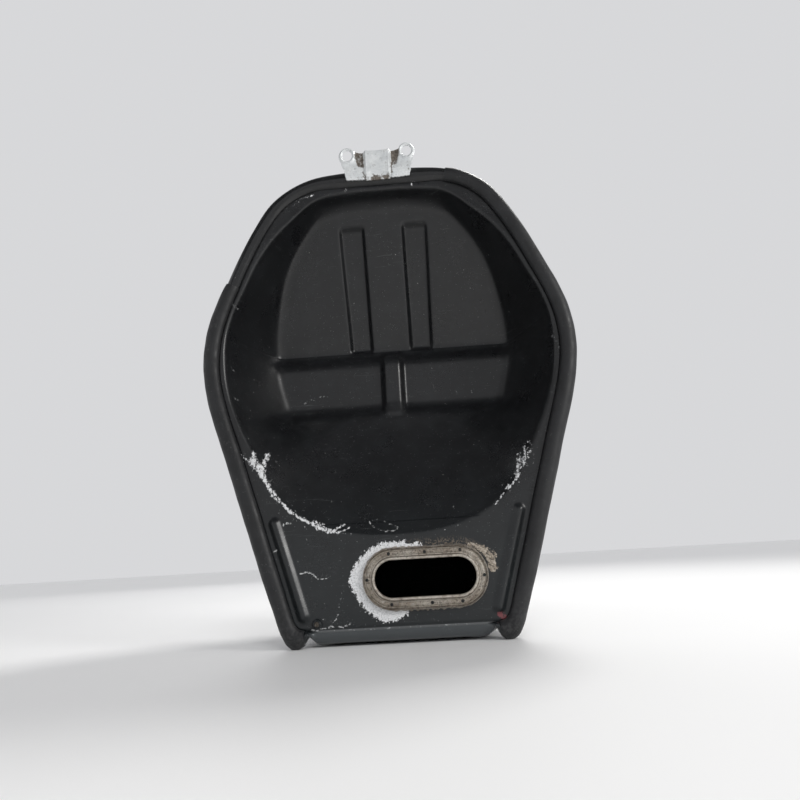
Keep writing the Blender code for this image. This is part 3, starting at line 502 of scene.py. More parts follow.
def make_pump():
    top = PLATE_Y - 0.25
    prof = [(0.15, top), (0.0, 4.2), (0.0, 1.5), (0.1, 1.0), (0.35, 0.6), (0.8, 0.32), (1.4, 0.22), (2.1, 0.25),
            (2.7, 0.45), (3.1, 0.8), (3.35, 1.4), (3.5, 2.3), (3.8, 2.9), (4.4, 3.05), (5.0, 2.7), (5.6, 2.42), (7.2, 2.3),
            (8.4, 2.42), (8.9, 2.9), (9.2, 3.5), (9.6, 3.6), (10.0, 3.0), (10.4, 2.0), (10.9, 1.5), (11.5, 1.55), (12.0, 2.1),
            (12.35, 3.2), (RING_W, 4.5), (RING_W, top)]
    # fine stepped lines rolled into the flange
    rows = []
    for off, y in prof:
        rows.append([(x, y, z) for x, z in stadium(PUMP[0], PUMP[1], PUMP_A, PUMP_R + off, 40)])
    rows = np.array(rows)
    # uneven, slightly hammered edge
    a = np.arctan2(rows[..., 2] - PUMP[1], rows[..., 0] - PUMP[0])
    rows[..., 1] += 0.06 * np.sin(a * 9 + 1) + 0.05 * np.sin(a * 17)
    pts = world(rows)
    m, n = pts.shape[:2]
    ob = mesh_object("pump_flange", pts.reshape(-1, 3), grid_faces(m, n, True, True), smooth_deg=None)
    bm = bmesh.new()
    bm.from_mesh(ob.data)
    bmesh.ops.recalc_face_normals(bm, faces=bm.faces)
    bm.to_mesh(ob.data)
    bm.free()
    apply_booleans(ob, [(cylinders("t", pump_spots(), 1.75, -5, 10, 20), 'DIFFERENCE')])
    ob.data.shade_smooth()
    ob.data.set_sharp_from_angle(angle=math.radians(42))
    vx, vy, vz = coords_mm(ob)
    off = np.hypot(np.maximum(np.abs(vx - PUMP[0]) - PUMP_A, 0), vz - PUMP[1]) - PUMP_R
    # painted light on the flange: highlights along the rolled lips, painted shade in the grooves and round the inner
    # edge of the opening
    put_attr(ob, "lip_painted_highlight", (np.exp(-((off - 1.3) / 0.9) ** 2) + 0.9 * np.exp(-((off - 4.3) / 0.5) ** 2)
                          + np.exp(-((off - 9.45) / 0.5) ** 2) + 0.7 * np.exp(-((off - 12.2) / 0.35) ** 2)) * (vy < 5))
    put_attr(ob, "groove_painted_shade", np.clip(np.exp(-((off - 3.2) / 0.35) ** 2) + 0.55 * np.exp(-((off - 6.6) / 0.7) ** 2)
                                   + np.exp(-((off - 10.9) / 0.75) ** 2) + (vy > 3.6) * (off < 1) * 1.0, 0, 1))
    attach(ob, "tank")
    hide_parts("pump_flange_ring")
    # sealant left round the outside of the flange
    rng = np.random.default_rng(5)
    verts, faces = [], []
    for a0, a1, amp in ((-150, -20, 1.0), (20, 75, 0.8), (95, 175, 0.9)):
        steps = int((a1 - a0) / 1.5)
        ph = rng.uniform(0, 6, 6)
        strip = []
        for k in range(steps + 1):
            t = a0 + (a1 - a0) * k / steps
            g = math.radians(t)
            # point on the stadium at this heading
            r = PUMP_R + RING_W - 0.4
            px, pz = math.cos(g), math.sin(g)
            sc = 1e9
            if abs(pz) > 1e-6:
                sc = r / abs(pz)
            if sc * abs(px) > PUMP_A:
                # on the end cap
                bq = -2 * PUMP_A * abs(px)
                cq = PUMP_A ** 2 - r * r
                sc = (-bq + math.sqrt(max(bq * bq - 4 * cq, 0))) / 2
            bx, bz = PUMP[0] + px * sc, PUMP[1] + pz * sc
            ends = math.sin(math.pi * k / steps) ** 0.35
            w = (1.0 + 0.9 * abs(math.sin(t * 0.21 + ph[0])) + 0.6 * math.sin(t * 0.67 + ph[1])) * amp * ends + 0.15
            h = (0.7 + 0.5 * math.sin(t * 0.43 + ph[2]) + 0.35 * math.sin(t * 1.1 + ph[3])) * amp * ends + 0.12
            nx, nz = (px, pz) if sc * abs(px) > PUMP_A else (0.0, math.copysign(1, pz))
            row = []
            for j in range(7):
                f = j / 6
                bump = math.sin(math.pi * f) ** 0.7
                row.append((bx + nx * (w * f - 0.3), PLATE_Y + 0.3 - max(h, 0.1) * bump - (1 - f) * 0.7, bz + nz * (w * f - 0.3)))
            strip.append(row)
        b0 = len(verts)
        verts.extend([p for row in strip for p in row])
        faces.extend([tuple(b0 + i for i in f) for f in grid_faces(len(strip), 7)])
    seal = mesh_object("flange_sealant", world(np.array(verts)), faces, smooth_deg=None)
    seal.data.shade_smooth()
    return ob, seal


# ------------------------------------------------------------------ bracket
def torus(name, x, y, z, R, r, squash=1.0, nu=40, nv=14, ez=1.0):
    rows = []
    for i in range(nu):
        a = 2 * math.pi * i / nu
        row = []
        for j in range(nv):
            b = 2 * math.pi * j / nv
            rr = R + r * math.cos(b)
            row.append((x + rr * math.cos(a), y + r * squash * math.sin(b), z + rr * math.sin(a) * ez))
        rows.append(row)
    return rows


def make_bracket():
    """Stamped front strap: two rolled eyes, set-back webs, raised centre pad and welded feet."""
    nx, nz = 325, 175
    xs = np.linspace(-47.6, 47.6, nx)
    zs = np.linspace(519.5, 570.2, nz)
    X, Z = np.meshgrid(xs, zs)
    ax = np.abs(X)
    side = np.sign(X)
    ez = 557.6 + 0.5 * side
    ear = (np.hypot((ax - EYE_X) / 10.4, (Z - ez + 0.6) / 11.9) - 1) * 10.4
    # plate below and between: narrows from the ear to the foot
    edge_x = np.interp(Z, [519, 526, 540, 548, 556], [37.6, 38.4, 41.2, 44.2, 46.0])
    top_z = np.interp(ax, [0, 14, 20, 27, 36, 48], [560, 560.8, 561.4, 563.6, 560, 540])
    low_z = np.interp(ax, [0, 9, 14, 17, 38, 48], [529, 528, 525.0, 523.6, 524.6, 526])
    plate = np.maximum(np.maximum(ax - edge_x, Z - top_z), low_z - Z)
    pad = np.maximum(ax - 15.2, np.maximum(Z - (561.2 - 1.5 * np.cos(np.clip(ax / 15.2, 0, 1) * math.pi / 2)), 522.5 - Z))
    field = np.minimum.reduce([ear, plate, pad])
    hole = (np.hypot((ax - EYE_X) / 5.9, (Z - ez) / 7.0) - 1) * 5.9
    field = np.maximum(field, -hole)
    rr = np.hypot((ax - EYE_X) / 8.1, (Z - ez + 0.2) / 9.4)
    collar = np.exp(-((rr - 1.0) / 0.17) ** 2)
    web = sst(15.8, 18.0, ax) * (1 - sst(25.6, 28.4, ax + 0.25 * (556 - Z) * (Z < 556))) * sst(538, 544, Z)
    padm = 1 - sst(13.6, 16.2, ax)
    fold = np.exp(-((ax - 13.6) / 1.2) ** 2)
    foot = (1 - sst(537, 543, Z)) * sst(15.5, 18, ax)
    roll = sst(524.0, 528.5, Z - low_z + 524.0)
    rng = np.random.default_rng(3)
    lump = blur(rng.normal(size=X.shape), 2.2, 2.2)
    lump = lump / np.abs(lump).max()
    Y = (-2.0 - 1.9 * collar + 2.3 * web - 2.6 * padm - 0.5 * fold * sst(528, 533, Z) - 0.7 * foot
         + 1.6 * (1 - roll) + lump * (0.18 + 0.7 * web + 0.35 * foot))
    Y = Y + 2.4 * (1 - sst(522, 531, Z)) * padm
    pts = world(np.stack([X, Y, Z], -1)).reshape(-1, 3)
    F = field.reshape(-1)
    faces = [f for f in grid_faces(nz, nx) if F[f[0]] + F[f[1]] + F[f[2]] + F[f[3]] <= 0.0]
    used = sorted(set(i for f in faces for i in f))
    remap = {v: k for k, v in enumerate(used)}
    ob = mesh_object("front_strap", pts[used], [tuple(remap[i] for i in f) for f in faces], smooth_deg=None)
    me = ob.data
    if me.polygons[0].normal.y > 0:
        me.flip_normals()
    # ease the stepped outline
    bm = bmesh.new()
    bm.from_mesh(me)
    for k in range(3):
        rim = [v for v in bm.verts if v.is_boundary]
        new = {}
        for v in rim:
            nb = [e.other_vert(v).co for e in v.link_edges if e.is_boundary]
            if len(nb) == 2:
                new[v] = v.co * 0.5 + (nb[0] + nb[1]) * 0.25
        for v, c_ in new.items():
            v.co = c_
    bm.to_mesh(me)
    bm.free()
    me.shade_smooth()
    solidify(ob, 1.7, -1.0)
    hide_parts("front_bracket")
    # grime and painted shade: darker on the set-back webs, along the pad edges and under the pad, less on the pad face
    # and eye collars
    w = (web * 1.0 + 0.55 * np.exp(-((ax - 17) / 1.4) ** 2) * (Z < 545) - 0.5 * padm * sst(528, 534, Z)
         + 0.75 * (1 - sst(524, 531, Z)) * (1 - sst(15, 17, ax)) - 0.25 * collar)
    put_attr(ob, "web", w.reshape(-1)[used])
    return ob


# ------------------------------------------------------------------ materials
def socket(b, *names):
    for n in names:
        if n in b.inputs:
            return b.inputs[n]
    return None


class Mat:
    """Small helper that builds node materials in object coordinates."""

    def __init__(self, name, rough=0.4, metal=0.0, color=(0.1, 0.1, 0.1), spec=0.5):
        self.m = bpy.data.materials.new(name)
        self.m.use_nodes = True
        self.nt = self.m.node_tree
        self.b = self.nt.nodes["Principled BSDF"]
        self.b.inputs["Base Color"].default_value = (*color, 1)
        self.b.inputs["Roughness"].default_value = rough
        self.b.inputs["Metallic"].default_value = metal
        socket(self.b, "Specular IOR Level", "Specular").default_value = spec
        self.tc = self.nt.nodes.new("ShaderNodeTexCoord")
        self.xyz = None

    def node(self, kind, **kw):
        n = self.nt.nodes.new(kind)
        for k, v in kw.items():
            setattr(n, k, v)
        return n

    def link(self, a, b):
        self.nt.links.new(a, b)

    def coords(self, scale=(1, 1, 1), loc=(0, 0, 0), rot=(0, 0, 0), warp=None, amount=0.0):
        mp = self.node("ShaderNodeMapping")
        mp.inputs["Scale"].default_value = scale
        mp.inputs["Location"].default_value = loc
        mp.inputs["Rotation"].default_value = rot
        src = self.tc.outputs["Object"]
        if warp is not None:
            mad = self.node("ShaderNodeVectorMath", operation='MULTIPLY_ADD')
            self.link(warp, mad.inputs[0])
            mad.inputs[1].default_value = (amount, amount, amount)
            self.link(src, mad.inputs[2])
            src = mad.outputs[0]
        self.link(src, mp.inputs["Vector"])
        return mp.outputs[0]

    def noise(self, scale, detail=4, rough=0.55, vec=None, dist=0.0, color=False):
        n = self.node("ShaderNodeTexNoise")
        n.inputs["Scale"].default_value = scale
        n.inputs["Detail"].default_value = detail
        n.inputs["Roughness"].default_value = rough
        n.inputs["Distortion"].default_value = dist
        self.link(vec if vec is not None else self.tc.outputs["Object"], n.inputs["Vector"])
        return n.outputs["Color"] if color else n.outputs[0]

    def voronoi(self, scale, vec=None, feature='F1', rnd=1.0):
        n = self.node("ShaderNodeTexVoronoi", feature=feature)
        n.inputs["Scale"].default_value = scale
        n.inputs["Randomness"].default_value = rnd
        self.link(vec if vec is not None else self.tc.outputs["Object"], n.inputs["Vector"])
        return n.outputs["Distance"]

    def ramp(self, fac, stops, interp='LINEAR'):
        r = self.node("ShaderNodeValToRGB")
        r.color_ramp.interpolation = interp
        e = r.color_ramp.elements
        while len(e) > 1:
            e.remove(e[-1])
        e[0].position = stops[0][0]
        e[0].color = self._c(stops[0][1])
        for p, c in stops[1:]:
            k = e.new(p)
            k.color = self._c(c)
        self.link(fac, r.inputs[0])
        return r.outputs[0]

    @staticmethod
    def _c(c):
        return (c, c, c, 1) if isinstance(c, (int, float)) else (*c, 1)

    def math(self, op, a, b=None, clamp=False):
        n = self.node("ShaderNodeMath", operation=op)
        n.use_clamp = clamp
        for i, v in enumerate((a, b)):
            if v is None:
                continue
            if isinstance(v, (int, float)):
                n.inputs[i].default_value = v
            else:
                self.link(v, n.inputs[i])
        return n.outputs[0]

    def mix(self, fac, a, b):
        n = self.node("ShaderNodeMix", data_type='RGBA')
        for s, v in ((n.inputs[0], fac), (n.inputs[6], a), (n.inputs[7], b)):
            if isinstance(v, (int, float)):
                s.default_value = v
            elif isinstance(v, tuple):
                s.default_value = (*v, 1)
            else:
                self.link(v, s)
        return n.outputs[2]

    def mixf(self, fac, a, b):
        n = self.node("ShaderNodeMix", data_type='FLOAT')
        for s, v in ((n.inputs[0], fac), (n.inputs[2], a), (n.inputs[3], b)):
            if isinstance(v, (int, float)):
                s.default_value = v
            else:
                self.link(v, s)
        return n.outputs[0]

    def axis(self, k, vec=None):
        n = self.node("ShaderNodeSeparateXYZ")
        self.link(vec if vec is not None else self.tc.outputs["Object"], n.inputs[0])
        return n.outputs[k]

    def bump(self, height, strength=0.3, distance=0.0005, normal=None):
        n = self.node("ShaderNodeBump")
        n.inputs["Strength"].default_value = strength
        n.inputs["Distance"].default_value = distance
        self.link(height, n.inputs["Height"])
        if normal is not None:
            self.link(normal, n.inputs["Normal"])
        return n.outputs[0]

    def pointiness(self):
        g = self.node("ShaderNodeNewGeometry")
        return g.outputs["Pointiness"]

    def attr(self, name):
        n = self.node("ShaderNodeAttribute")
        n.attribute_name = name
        return n.outputs["Fac"]

    def set(self, name, v):
        s = socket(self.b, *name.split("|"))
        self.link(v, s)

    def capsule(self, p, q, r0, soft, vec):
        """1 inside a line of half width r0 (metres) from p to q in the x z plane, 0 outside."""
        px, pz = p[0] * MM, p[1] * MM
        qx, qz = q[0] * MM, q[1] * MM
        L = max(math.hypot(qx - px, qz - pz), 1e-6)
        ux, uz = (qx - px) / L, (qz - pz) / L
        # distance to a segment: clamp the run along it
        sub = self.node("ShaderNodeVectorMath", operation='SUBTRACT')
        self.link(vec, sub.inputs[0])
        sub.inputs[1].default_value = (px, 0, pz)
        dot = self.node("ShaderNodeVectorMath", operation='DOT_PRODUCT')
        self.link(sub.outputs[0], dot.inputs[0])
        dot.inputs[1].default_value = (ux, 0, uz)
        cl = self.node("ShaderNodeClamp")
        cl.inputs["Min"].default_value = 0.0
        cl.inputs["Max"].default_value = L
        self.link(dot.outputs["Value"], cl.inputs["Value"])
        sc = self.node("ShaderNodeVectorMath", operation='SCALE')
        sc.inputs[0].default_value = (ux, 0, uz)
        self.link(cl.outputs[0], sc.inputs["Scale"])
        d = self.node("ShaderNodeVectorMath", operation='SUBTRACT')
        self.link(sub.outputs[0], d.inputs[0])
        self.link(sc.outputs[0], d.inputs[1])
        m = self.node("ShaderNodeVectorMath", operation='MULTIPLY')
        self.link(d.outputs[0], m.inputs[0])
        m.inputs[1].default_value = (1, 0, 1)
        ln = self.node("ShaderNodeVectorMath", operation='LENGTH')
        self.link(m.outputs[0], ln.inputs[0])
        return ln.outputs["Value"]


def wear_field(X, Z, strokes, fall):
    """Strength of wear strokes at points (mm): 1 on a stroke, fading outward."""
    best = np.zeros_like(X)
    for pts, w0, w1, s in strokes:
        n = len(pts) - 1
        for k in range(n):
            (x0, z0), (x1, z1) = pts[k], pts[k + 1]
            a, b = k / n, (k + 1) / n
            vx, vz = x1 - x0, z1 - z0
            t = np.clip(((X - x0) * vx + (Z - z0) * vz) / (vx * vx + vz * vz + 1e-9), 0, 1)
            d = np.hypot(X - x0 - t * vx, Z - z0 - t * vz)
            w = w0 + (w1 - w0) * (a + (b - a) * t)
            best = np.maximum(best, s * np.clip(1 - (d - w) / fall, 0, 1))
    return best


def put_attr(ob, name, values):
    a = ob.data.attributes.new(name, 'FLOAT', 'POINT')
    a.data.foreach_set("value", np.asarray(values, np.float32))


def coords_mm(ob):
    co = np.empty(len(ob.data.vertices) * 3)
    ob.data.vertices.foreach_get("co", co)
    co = co.reshape(-1, 3) / MM
    return co[:, 0], co[:, 1] - Y_SHIFT, co[:, 2]


# wear strokes on the underside: points in mm, start and end half width, strength
SCRAPES = [
    # lower left corner of the recess: a torn patch
    ([(-152, 193), (-146, 185), (-140, 174), (-137, 168)], 2.4, 0.6, 1.0),
    ([(-152, 201), (-148, 192)], 0.1, 1.2, 0.85),
    ([(-138, 204), (-140, 194), (-142, 184), (-141, 174)], 0.7, 1.8, 0.95),
    ([(-154, 189), (-149, 185)], 0.2, 1.0, 0.85),
    # lower middle: a scuffed lump
    ([(-88, 122), (-82, 118), (-74, 114.5), (-69, 113)], 0.9, 1.1, 0.95),
    ([(-84, 123), (-78, 120.5)], 0.3, 0.8, 0.85),
    # lower right corner
    ([(141, 190), (140, 181), (136, 170)], 0.2, 0.9, 0.88),
    ([(146, 186), (141, 180)], 0.1, 0.7, 0.8),
    ([(134, 182), (133, 172), (129, 161)], 0.2, 0.9, 0.90),
]
ARCS = [
    ([(-168, 203), (-162, 197), (-156, 192), (-150, 187)], 0.15, 0.45, 0.9),
    ([(-141, 176), (-134, 163), (-127, 154)], 1.3, 0.7, 1.0),
    ([(-135, 161), (-128, 151), (-122, 146)], 0.4, 0.7, 0.8),
    ([(-127, 155), (-119, 144.5), (-112, 137), (-104, 130.5), (-96, 125.5), (-88, 120.5)], 0.35, 0.6, 1.0),
    ([(-118, 141), (-110, 134), (-101, 128), (-95, 127)], 0.3, 0.9, 0.9),
    ([(-92, 124), (-84, 119), (-76, 115)], 0.6, 0.9, 1.0),
    ([(-66, 113), (-60, 116.5), (-54, 119.5)], 0.9, 0.4, 0.95),
    ([(-62, 111.5), (-55, 112.5), (-50, 115)], 0.7, 0.3, 0.9),
    ([(-72, 112), (-62, 110.5), (-54, 110)], 0.3, 0.2, 0.7),
    ([(-134, 206), (-132, 198), (-129, 190)], 0.15, 0.3, 0.7),
    ([(-130, 201), (-128, 194)], 0.2, 0.15, 0.6),
    ([(131, 160), (125, 152.5), (118, 146)], 0.6, 0.35, 0.95),
    ([(139, 176), (133, 166), (127, 157)], 0.2, 0.45, 0.8),
    ([(119, 150), (114, 143), (109, 136)], 0.35, 0.2, 0.8),
    ([(112, 141), (106, 133), (103, 131)], 0.25, 0.5, 0.75),
    ([(144, 196), (147, 191)], 0.2, 0.4, 0.7),
    ([(-101, 506), (-92, 510), (-80, 512.5)], 0.3, 0.6, 0.7),
    ([(-108, 499), (-98, 504.5)], 0.2, 0.4, 0.6),
    ([(-41, 520), (-40.5, 515)], 0.5, 0.3, 0.9),
    ([(40, 520), (40, 515)], 0.5, 0.3, 0.8),
    # painted highlight along the crease above the rear bend, drawn as a pale stroke
    ([(-84, 16.2), (-40, 15.8), (0, 15.8), (40, 15.8), (86, 16.2)], 0.12, 0.12, 0.52),
]
FINE = [
    ([(-101, 72), (-94, 73.5), (-88, 71.5), (-83, 66.5), (-76, 65.5), (-70, 68)], 0.42, 0.3, 0.9),
    ([(-29, 122), (-27, 117), (-20, 112.5), (-10, 109.5), (-2, 110), (2, 113)], 0.25, 0.2, 0.75),
    ([(-29, 122), (-20, 122.5), (-10, 119), (2, 113)], 0.2, 0.2, 0.6),
    ([(-118, 122), (-114, 124), (-110, 123)], 0.8, 0.5, 0.75),
    ([(-131, 95), (-125, 97)], 0.4, 0.6, 0.7),
    ([(-135, 92), (-131, 86), (-127, 84)], 0.3, 0.4, 0.5),
    ([(-66, 199), (-66.5, 186), (-67.5, 172)], 0.3, 0.25, 0.6),
    ([(-64, 186), (-65, 180)], 0.4, 0.2, 0.6),
    ([(-60, 197), (-58, 196)], 0.4, 0.4, 0.5),
    ([(14, 187), (26, 193)], 0.3, 0.25, 0.45),
    ([(10, 164), (22, 168.5)], 0.35, 0.25, 0.6),
    ([(2, 166), (6, 158), (9, 150)], 0.2, 0.2, 0.3),
    ([(-18, 120), (-10, 127), (-2, 135)], 0.2, 0.15, 0.25),
    ([(-5, 105), (8, 101), (14, 99)], 0.3, 0.3, 0.35),
    ([(-87, 155), (-70, 150), (-57, 144)], 0.2, 0.15, 0.3),
    ([(-62, 158), (-69, 140), (-72, 128)], 0.25, 0.2, 0.5),
    ([(-57, 100), (-58, 88), (-57, 72), (-58, 52), (-63, 34), (-72, 24)], 0.25, 0.3, 0.35),
    ([(-91, 17.5), (-78, 18.5), (-66, 20), (-58, 19), (-50, 22)], 0.6, 0.4, 0.8),
    ([(-72, 20), (-66, 26), (-62, 33)], 0.4, 0.3, 0.6),
    ([(-87, 24), (-80, 28), (-74, 26)], 0.3, 0.2, 0.5),
    ([(-46, 22), (-36, 19.5), (-20, 19)], 0.2, 0.2, 0.4),
    ([(40, 106), (58, 109), (66, 113)], 0.25, 0.2, 0.35),
    ([(46, 153), (48, 143), (47, 132)], 0.25, 0.15, 0.3),
    ([(60, 135), (61, 128)], 0.35, 0.2, 0.45),
    ([(-95, 108), (-92, 101)], 0.25, 0.2, 0.35),
    ([(-104, 88), (-101, 80)], 0.2, 0.3, 0.35),
    # long hairlines over the rear plate
    ([(-118, 112), (-96, 70), (-84, 40)], 0.12, 0.12, 0.2),
    ([(-108, 118), (-60, 104), (-40, 101)], 0.12, 0.12, 0.18),
]
DEEP = [
    # scuffs inside the recess, on the floor and walls
    ([(-112, 276), (-106, 281), (-99, 279), (-92, 284), (-84, 283)], 0.9, 0.5, 0.65),
    ([(-105, 274), (-98, 277)], 0.5, 0.4, 0.5),
    ([(-146, 349), (-145, 340), (-146, 330)], 0.9, 0.6, 0.35),
    ([(44, 321), (47, 316), (49, 311)], 0.5, 0.4, 0.6),
    ([(49, 290), (50, 284)], 0.5, 0.4, 0.5),
    ([(77, 279), (78, 275)], 0.6, 0.5, 0.6),
    ([(96, 278), (97, 275)], 0.7, 0.7, 0.9),
    ([(20, 458), (24, 461), (26, 457)], 0.35, 0.35, 0.55),
    ([(26, 440), (27, 425)], 0.35, 0.25, 0.35),
    ([(44, 400), (45, 380), (44, 362)], 0.35, 0.25, 0.3),
    ([(-30, 270), (-26, 276)], 0.4, 0.3, 0.35),
]
RIMCHIPS = [
    ([(-184, 420), (-176, 424), (-168, 422)], 0.9, 0.6, 0.5),
    ([(-178, 376), (-172, 373)], 0.9, 0.8, 0.75),
    ([(-182, 305), (-178, 300)], 0.7, 0.6, 0.6),
    ([(-176, 268), (-172, 263)], 0.8, 0.6, 0.6),
    ([(184, 312), (188, 302), (189, 296)], 0.5, 0.4, 0.7),
    ([(180, 258), (181, 246)], 0.4, 0.3, 0.4),
    ([(176, 238), (177, 231)], 0.4, 0.3, 0.35),
    ([(-128, 478), (-112, 497), (-96, 508)], 0.4, 0.4, 0.35),
    ([(102, 508), (112, 497)], 0.3, 0.3, 0.3),
]


def crescent(X, Z):
    """Paint stripped round the left end of the pump flange."""
    cx, cz = PUMP
    dx = np.maximum(np.abs(X - cx) - PUMP_A, 0) * np.sign(X - cx)
    d = np.hypot(dx, Z - cz) - (PUMP_R + RING_W)          # outside the flange edge
    ang = np.degrees(np.arctan2(Z - cz, X - (cx - PUMP_A + 6)))      # round the left end
    a = np.where(ang < 0, ang + 360, ang)                  # 90 top, 180 left, 270 bottom
    width = np.interp(a, [48, 58, 66, 80, 100, 125, 150, 165, 178, 190, 205, 225, 245, 260, 272, 282, 291],
                      [0.0, 5.0, 3.0, 7.0, 6.0, 7.2, 9.0, 12.0, 15.0, 12.0, 10.5, 10.5, 12.0, 10.5, 8.0, 4.5, 0.0])
    edge = np.clip((width + 1.4 - d) / 5.5, 0, 1.5) * (width > 0.3) * (d > -1.4)
    return edge, d, a


def paint_attrs(ob):
    X, Y, Z = coords_mm(ob)
    flat = sst(-3, 4, 26 - Y)          # plate and rim only
    blob = wear_field(X, Z, SCRAPES, 4.2)
    arc = wear_field(X, Z, ARCS, 1.7)
    near = wear_field(X, Z, SCRAPES + ARCS[:16], 13.0)
    put_attr(ob, "scrape", np.maximum(np.maximum(blob, arc), 0.33 * near) * flat)
    put_attr(ob, "fine", wear_field(X, Z, FINE, 1.0) * flat)
    put_attr(ob, "deep", wear_field(X, Z, DEEP, 1.5) * (1 - flat) + wear_field(X, Z, RIMCHIPS, 1.6) * flat)
    c, d, a = crescent(X, Z)
    put_attr(ob, "strip", c * flat)
    cx, cz = PUMP
    right = sst(cx + 20, cx + 52, X) * (1 - sst(7, 16, d)) * sst(cz - 6, cz + 6, Z)
    tan = wear_field(X, Z, [([(74, 91), (86, 87), (93, 78), (95, 68)], 2.0, 3.4, 1.0),
                            ([(88, 88), (97, 80)], 1.5, 2.5, 0.8)], 2.2)
    put_attr(ob, "tan", tan * flat)
    speck = (1 - sst(2, 10, d)) * sst(cz + 8, cz + 20, Z) * sst(cx - 26, cx, X)
    put_attr(ob, "speck", speck * flat)
    # painted reflection of the floor: the rear strip below the crease is lightened to grey-green
    put_attr(ob, "rear_strip_painted_reflection", (1 - sst(14.0, 16.0, Z)) * (1 - sst(88, 96, np.abs(X))) * (1 - sst(19, 30, Y)))
    # painted highlight: a pale line along the crease above the rear bend
    put_attr(ob, "crease_painted_highlight", np.exp(-((Z - 15.9) / 0.75) ** 2) * (1 - sst(84, 90, np.abs(X))) * (1 - sst(12, 16, Y)) * 0.8)
    put_attr(ob, "pink", wear_field(X, Z, [([(97, 24), (103, 19), (107, 15)], 1.2, 1.6, 1.0)], 2.5) * flat)


